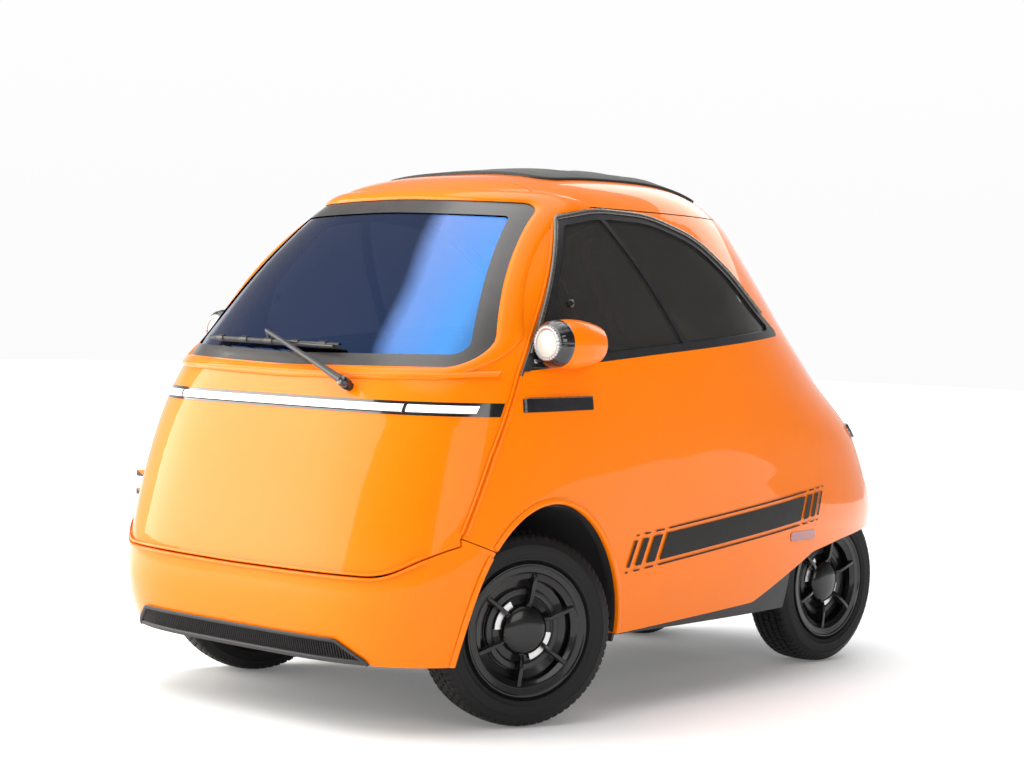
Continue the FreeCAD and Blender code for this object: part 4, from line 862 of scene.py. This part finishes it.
# Dark return inside each wheel arch
RETURN_DEPTHS = [(-0.0015, -0.0105), (-0.0020, -0.0130), (-0.0022, -0.0370)]
for side_name in ("left", "right"):
    ribbon("arch_return_" + side_name, arch_path, RETURN_DEPTHS, side_name, BLACK_MATTE,
           closed=False)


def seat_on(way, a, b, lift=0.0):
    """Matrix that turns +X to the skin's normal at a point of it."""
    here = on_skin(way, a, b, lift)
    normal = (on_skin(way, a, b, lift + 0.01) - here).normalized()
    return Matrix.Translation(here) @ normal.to_track_quat("X", "Z").to_matrix().to_4x4()


# Small fittings on the side windows and the badge strips
KNOB = [(-0.0060, 0.0115), (0.0040, 0.0122), (0.0068, 0.0112), (0.0078, 0.0088),
        (0.0060, 0.0070), (0.0054, 0.0002)]
KNOB_AT = (-0.608, 1.110)
BUTTON = [(-0.0030, 0.0056), (0.0024, 0.0058), (0.0036, 0.0046), (0.0040, 0.0002)]
BUTTON_AT = (-0.776, 0.956)
WINDOW_CORNER = [(-0.8238, 0.9285), (-0.8000, 0.9300), (-0.5460, 1.3380), (-0.5505, 1.3415)]
STRIP_TIP = [(-0.8385, 0.8255), (-0.8300, 0.8257), (-0.8270, 0.8600), (-0.8345, 0.8597)]
front_run = [p for p in window_path if p.x < -0.552 and p.y > 0.94 and p not in top_run]
front_run = sorted(front_run, key=lambda p: -p.y)
for side_name in ("left", "right"):
    lathe("pane_knob_" + side_name, KNOB, 40, BLACK_GLOSS, "body",
          seat_on(side_name, *KNOB_AT, -0.006))
    lathe("window_button_" + side_name, BUTTON, 28, ALUMINIUM, "body",
          seat_on(side_name, *BUTTON_AT, 0.0004))
    ribbon("window_edge_" + side_name, front_run,
           [(-0.0030, -0.0010), (-0.0020, 0.0016), (0.0002, 0.0018), (0.0010, -0.0010)],
           side_name, SATIN_BAR, closed=False)
    patch("window_corner_" + side_name, WINDOW_CORNER, side_name, 0.0014, 0.0, 0.012, TRIM_DARK)
    patch("strip_tip_" + side_name, STRIP_TIP, side_name, 0.0026, 0.0, 0.008, ALUMINIUM)
    ribbon("strip_lip_" + side_name,
           spaced([(-0.822, 0.8620), (-0.584, 0.8655)], 0.02, False),
           [(-0.0014, -0.0006), (-0.0008, 0.0032), (0.0008, 0.0034), (0.0016, 0.0022)],
           side_name, SATIN_BAR, closed=False)

# Wiper: tapered arm with its cap, and the blade with its spine and claws
WIPER_FOOT = Vector((0.285, -1.1345, 0.8935))
WIPER_TIP = Vector((-0.112, -1.056, 1.0135))
arm_run = [WIPER_FOOT.lerp(WIPER_TIP, t) + Vector((0.0, -0.006, 0.004)) * math.sin(math.pi * t)
           for t in (0.0, 0.08, 0.2, 0.4, 0.6, 0.8, 1.0)]
tube("wiper_arm", arm_run, [0.0105, 0.0100, 0.0088, 0.0070, 0.0058, 0.0052, 0.0050], TRIM_DARK,
     "front_door", 16)
cap_place = Matrix.Translation(Vector((0.285, -1.1300, 0.8905))) @ Vector(
    (0.0, -0.86, 0.51)).to_track_quat("X", "Z").to_matrix().to_4x4()
lathe("wiper_cap", [(-0.018, 0.0150), (0.004, 0.0148), (0.010, 0.0128), (0.0125, 0.0080),
                    (0.0130, 0.0002)], 36, BLACK_GLOSS, "front_door", cap_place)
BLADE_RUN = spaced([(-0.392, 0.9845), (0.180, 0.9775)], 0.015, False)
ribbon("wiper_blade", BLADE_RUN,
       [(-0.0050, -0.0020), (-0.0062, 0.0040), (-0.0030, 0.0105), (0.0010, 0.0118),
        (0.0040, 0.0080), (0.0046, -0.0020)],
       "front", BLACK_MATTE, "front_door", closed=False)
for i, x in enumerate((-0.330, -0.215, -0.105, 0.005, 0.115)):
    claw = [(x + reach, 0.9845 - 0.0122 * (x + 0.392)) for reach in (-0.016, 0.016)]
    ribbon("wiper_claw_%d" % i, spaced(claw, 0.008, False),
           [(-0.0074, 0.0010), (-0.0070, 0.0100), (0.0, 0.0148), (0.0060, 0.0100),
            (0.0064, 0.0010)],
           "front", TRIM_DARK, "front_door", closed=False)


# Seats: padded cushions grown by pressure, with their seams pulled in
CUSHION_VOXEL = 0.012
CUSHION_SHRINK = 0.009
SWELL_LIMIT = 0.016
SEAM_LIMIT = 0.012
PUFF_FRAMES = 20


def cushion(name, node, channels):
    """Cushion that stands for a node: shrunk, blown up as cloth, then pulled in at its seams."""
    source = NODES[node]
    made = put(name, source.data.copy())
    made.matrix_world = source.matrix_world.copy()
    made.data.materials.clear()
    made.data.materials.append(CLOTH)
    weld = bmesh.new()
    weld.from_mesh(made.data)
    bmesh.ops.remove_doubles(weld, verts=weld.verts, dist=1e-5)
    weld.to_mesh(made.data)
    weld.free()
    modified(made, "REMESH", mode="VOXEL", voxel_size=CUSHION_VOXEL, use_smooth_shade=True)
    modified(made, "DISPLACE", strength=-CUSHION_SHRINK, mid_level=0.0)
    start = np.array([tuple(v.co) for v in made.data.vertices])
    cloth = made.modifiers.new("pressure", "CLOTH")
    cloth.settings.use_pressure = True
    cloth.settings.uniform_pressure_force = 4.0
    cloth.settings.effector_weights.gravity = 0.0
    cloth.point_cache.frame_start = 1
    cloth.point_cache.frame_end = PUFF_FRAMES
    for frame_at in range(1, PUFF_FRAMES + 1):
        bpy.context.scene.frame_set(frame_at)
    depsgraph = bpy.context.evaluated_depsgraph_get()
    blown = bpy.data.meshes.new_from_object(made.evaluated_get(depsgraph))
    made.modifiers.clear()
    made.data = blown
    bpy.context.scene.frame_set(1)
    now = np.array([tuple(v.co) for v in made.data.vertices])
    moved = now - start
    far = np.linalg.norm(moved, axis=1)
    kept = start + moved * np.minimum(1.0, SWELL_LIMIT / np.maximum(far, 1e-9))[:, None]
    made.data.vertices.foreach_set("co", kept.ravel())
    modified(made, "SUBSURF", levels=1, render_levels=1)
    normals = [v.normal.copy() for v in made.data.vertices]
    for vertex, normal in zip(made.data.vertices, normals):
        depth = 0.0
        for axis, at, deep, wide in channels:
            depth += deep * math.exp(-((vertex.co[axis] - at) / wide) ** 2)
        vertex.co -= normal * min(depth, SEAM_LIMIT)
    for polygon in made.data.polygons:
        polygon.use_smooth = True
    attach(made, "body")
    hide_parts(node)


SEAMS_ACROSS = [(0, 0.0, 0.011, 0.010), (0, -0.405, 0.005, 0.007), (0, 0.405, 0.005, 0.007),
                (0, -0.095, 0.005, 0.007), (0, 0.095, 0.005, 0.007)]
cushion("seat_pad", "seat_cushion",
        SEAMS_ACROSS + [(1, -0.300, 0.005, 0.008), (1, -0.120, 0.003, 0.008)])
cushion("seat_back_pad", "seat_back",
        SEAMS_ACROSS + [(2, 0.640, 0.004, 0.008), (2, 0.880, 0.005, 0.008)])

# Folding fabric top: one stretched sheet over three bows, with a hem
TOP = [(-0.335, -0.440), (0.335, -0.440), (0.290, 0.300), (-0.290, 0.300)]
BOWS = [-0.255, -0.070, 0.115]


def top_half(y):
    """Half the fabric top's width, which narrows toward its rear edge."""
    (_, _), (wide, front), (narrow, rear), _ = TOP
    return wide - (wide - narrow) * (y - front) / (rear - front)


top_path = eased(TOP, 0.060, 8)
fabric = patch("fabric_roof", top_path, "top", 0.0042, 0.0, 0.013, FABRIC)
for vertex in fabric.data.vertices:
    x, y = vertex.co.x, vertex.co.y
    half = top_half(y)
    inside = max(0.0, 1.0 - (abs(x) / half) ** 6) * max(0.0, 1.0 - abs((y + 0.070) / 0.370) ** 6)
    rise = 0.0052
    for bow in BOWS:
        rise += 0.0026 * math.exp(-((y - bow) / 0.014) ** 2)
    vertex.co.z += rise * inside
modified(fabric, "SOLIDIFY", thickness=0.0024, offset=-1.0)
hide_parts("fabric_top")
hem = ribbon("fabric_hem", spaced(top_path, 0.02),
             [(0.0016, 0.0006), (0.0012, 0.0052), (-0.0020, 0.0066), (-0.0100, 0.0068),
              (-0.0120, 0.0052)],
             "top", RUBBER)
for i, bow in enumerate(BOWS):
    half = top_half(bow) - 0.003
    bow_run = [on_skin("top", half * t, bow, -0.0060) for t in
               (-1.0, -0.8, -0.6, -0.4, -0.2, 0.0, 0.2, 0.4, 0.6, 0.8, 1.0)]
    tube("roof_bow_%d" % i, bow_run, [0.0055] * 11, STEEL, "body", 10)


def slab(name, low, high, look, ease):
    """Eased plate between two corners."""
    verts = [Vector((x, y, z)) for x in (low[0], high[0]) for y in (low[1], high[1])
             for z in (low[2], high[2])]
    faces = [(0, 1, 3, 2), (4, 6, 7, 5), (0, 4, 5, 1), (2, 3, 7, 6), (0, 2, 6, 4), (1, 5, 7, 3)]
    made = piece(name, verts, faces, look)
    modified(made, "BEVEL", width=ease, segments=3, limit_method="ANGLE")
    return sharpen(made, 50.0)


# Cabin details: display face and bezel
slab("display_face", (0.199, -0.6186, 0.808), (0.341, -0.6158, 0.884), DARK_GLASS, 0.0012)
slab("display_bezel", (0.194, -0.6184, 0.803), (0.346, -0.6168, 0.889), BLACK_GLOSS, 0.0007)

# Tail: a blank plate in its frame, a handle and small lamps
plate_path = eased([(-0.255, 0.520), (0.255, 0.520), (0.255, 0.628), (-0.255, 0.628)], 0.008, 4)
patch("plate_blank", plate_path, "rear", 0.0050, 0.005, 0.03, PLATE, "tailgate")
ribbon("plate_frame", spaced(plate_path, 0.03),
       [(-0.0040, 0.0052), (-0.0030, 0.0078), (0.0040, 0.0078), (0.0060, 0.0050),
        (0.0060, -0.0010)],
       "rear", BLACK_MATTE, "tailgate")
handle_path = eased([(-0.075, 0.798), (0.075, 0.798), (0.075, 0.822), (-0.075, 0.822)], 0.011, 5)
patch("gate_handle", handle_path, "rear", 0.0080, 0.009, 0.02, BLACK_GLOSS, "tailgate")
for i, x in enumerate((-0.160, 0.160)):
    lens = eased([(x - 0.022, 0.638), (x + 0.022, 0.638), (x + 0.022, 0.650), (x - 0.022, 0.650)],
                 0.004, 4)
    patch("plate_lamp_%d" % i, lens, "rear", 0.0050, 0.005, 0.02, LAMP_WHITE, "tailgate")
LAMP_OUT = [(-0.418, 0.716), (0.418, 0.716), (0.418, 0.752), (-0.418, 0.752)]
ribbon("rear_lamp_frame", spaced(LAMP_OUT, 0.02),
       [(-0.0060, 0.0012), (-0.0040, 0.0036), (0.0020, 0.0036), (0.0034, 0.0010),
        (0.0034, -0.0030)],
       "rear", BLACK_GLOSS, "tailgate")
for i, z in enumerate((0.724, 0.734, 0.744)):
    ribbon("rear_lamp_line_%d" % i,
           spaced([(-0.408, z), (0.408, z)], 0.02, False),
           [(-0.0024, 0.0008), (-0.0012, 0.0026), (0.0012, 0.0026), (0.0024, 0.0008)],
           "rear", LAMP_RED, "tailgate", closed=False)
GLASS_OUT = [(-0.345, 0.985), (0.345, 0.985), (0.282, 1.330), (-0.282, 1.330)]
ribbon("rear_glass_seal", spaced(eased(GLASS_OUT, 0.055, 8), 0.02),
       [(0.0040, -0.0020), (0.0030, 0.0016), (-0.0020, 0.0024), (-0.0080, 0.0010),
        (-0.0100, -0.0016)],
       "rear", RUBBER, "tailgate")

# Stage, light and world
floor_data = bpy.data.meshes.new("floor")
FLOOR_REACH = 30.0
floor_data.from_pydata([(-FLOOR_REACH, -FLOOR_REACH, 0), (FLOOR_REACH, -FLOOR_REACH, 0),
                        (FLOOR_REACH, FLOOR_REACH, 0), (-FLOOR_REACH, FLOOR_REACH, 0)],
                       [], [(0, 1, 2, 3)])
floor = put("floor", floor_data)
FLOOR = material("floor", (0.86, 0.86, 0.86), (0.7, 0.8), 0.01, 3.0, 0.0,
                 Specular_IOR_Level=0.1, Emission_Color=(1.0, 1.0, 1.0, 1.0))
floor_data.materials.append(FLOOR)
# The floor brightens away from the car until it meets the pale backdrop
nodes = FLOOR.node_tree.nodes
reach = nodes.new("ShaderNodeVectorMath")
reach.operation = "LENGTH"
FLOOR.node_tree.links.new(nodes["Texture Coordinate"].outputs["Object"], reach.inputs[0])
glow = nodes.new("ShaderNodeMapRange")
glow.interpolation_type = "SMOOTHSTEP"
glow.inputs["From Min"].default_value = 1.6
glow.inputs["From Max"].default_value = 6.0
glow.inputs["To Min"].default_value = 0.12
glow.inputs["To Max"].default_value = 0.70
FLOOR.node_tree.links.new(reach.outputs["Value"], glow.inputs["Value"])
FLOOR.node_tree.links.new(glow.outputs["Result"],
                          nodes["Principled BSDF"].inputs["Emission Strength"])
floor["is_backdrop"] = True


def area_light(name, at, to, size, power, colour=(1.0, 1.0, 1.0)):
    data = bpy.data.lights.new(name, "AREA")
    data.shape = "RECTANGLE"
    data.size, data.size_y = size
    data.energy = power
    data.color = colour
    made = put(name, data)
    made.location = at
    made.rotation_mode = "QUATERNION"
    made.rotation_quaternion = (Vector(to) - Vector(at)).to_track_quat("-Z", "Y")
    return made


area_light("key", (-4.6, -4.9, 2.9), (0.0, -0.5, 0.75), (7.6, 4.6), 590.0, (1.0, 0.975, 0.90))
area_light("fill", (6.5, -2.6, 2.9), (0.4, -0.2, 0.6), (4.0, 3.0), 112.0, (1.0, 0.98, 0.93))
area_light("back", (-1.5, 6.5, 4.5), (0.0, 0.4, 0.9), (5.0, 3.0), 120.0)

world = bpy.data.worlds.new("studio")
world.use_nodes = True
bpy.context.scene.world = world
sky = world.node_tree
link = sky.links.new
backdrop = sky.nodes["Background"]
backdrop.inputs["Strength"].default_value = 1.0
direction = sky.nodes.new("ShaderNodeTexCoord")
split = sky.nodes.new("ShaderNodeSeparateXYZ")
link(direction.outputs["Generated"], split.inputs["Vector"])
# Bright near the horizon and overhead, darker between; duller on the car's left
BRIGHTNESS = [(0.0, 0.97), (0.20, 1.0), (0.30, 0.40), (0.73, 0.32), (0.79, 3.0), (1.0, 3.4)]
shade = ramp(sky, [(at, (value, value, value, 1.0)) for at, value in BRIGHTNESS])
link(split.outputs["Z"], shade.inputs["Fac"])
dull = ramp(sky, [(0.42, (1.0, 1.0, 1.0, 1.0)), (0.75, (0.24, 0.24, 0.25, 1.0))])
turned = sky.nodes.new("ShaderNodeVectorMath")
turned.operation = "DOT_PRODUCT"
turned.inputs[1].default_value = (0.95, 0.31, 0.0)
link(direction.outputs["Generated"], turned.inputs[0])
share = sky.nodes.new("ShaderNodeMapRange")
share.inputs["From Min"].default_value = -1.0
link(turned.outputs["Value"], share.inputs["Value"])
link(share.outputs["Result"], dull.inputs["Fac"])
both = sky.nodes.new("ShaderNodeMix")
both.data_type = "RGBA"
both.blend_type = "MULTIPLY"
both.inputs["Factor"].default_value = 1.0
link(shade.outputs["Color"], both.inputs["A"])
link(dull.outputs["Color"], both.inputs["B"])
link(both.outputs["Result"], backdrop.inputs["Color"])
bpy.context.scene.view_settings.view_transform = "Standard"

# Sizes after dressing
low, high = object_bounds()
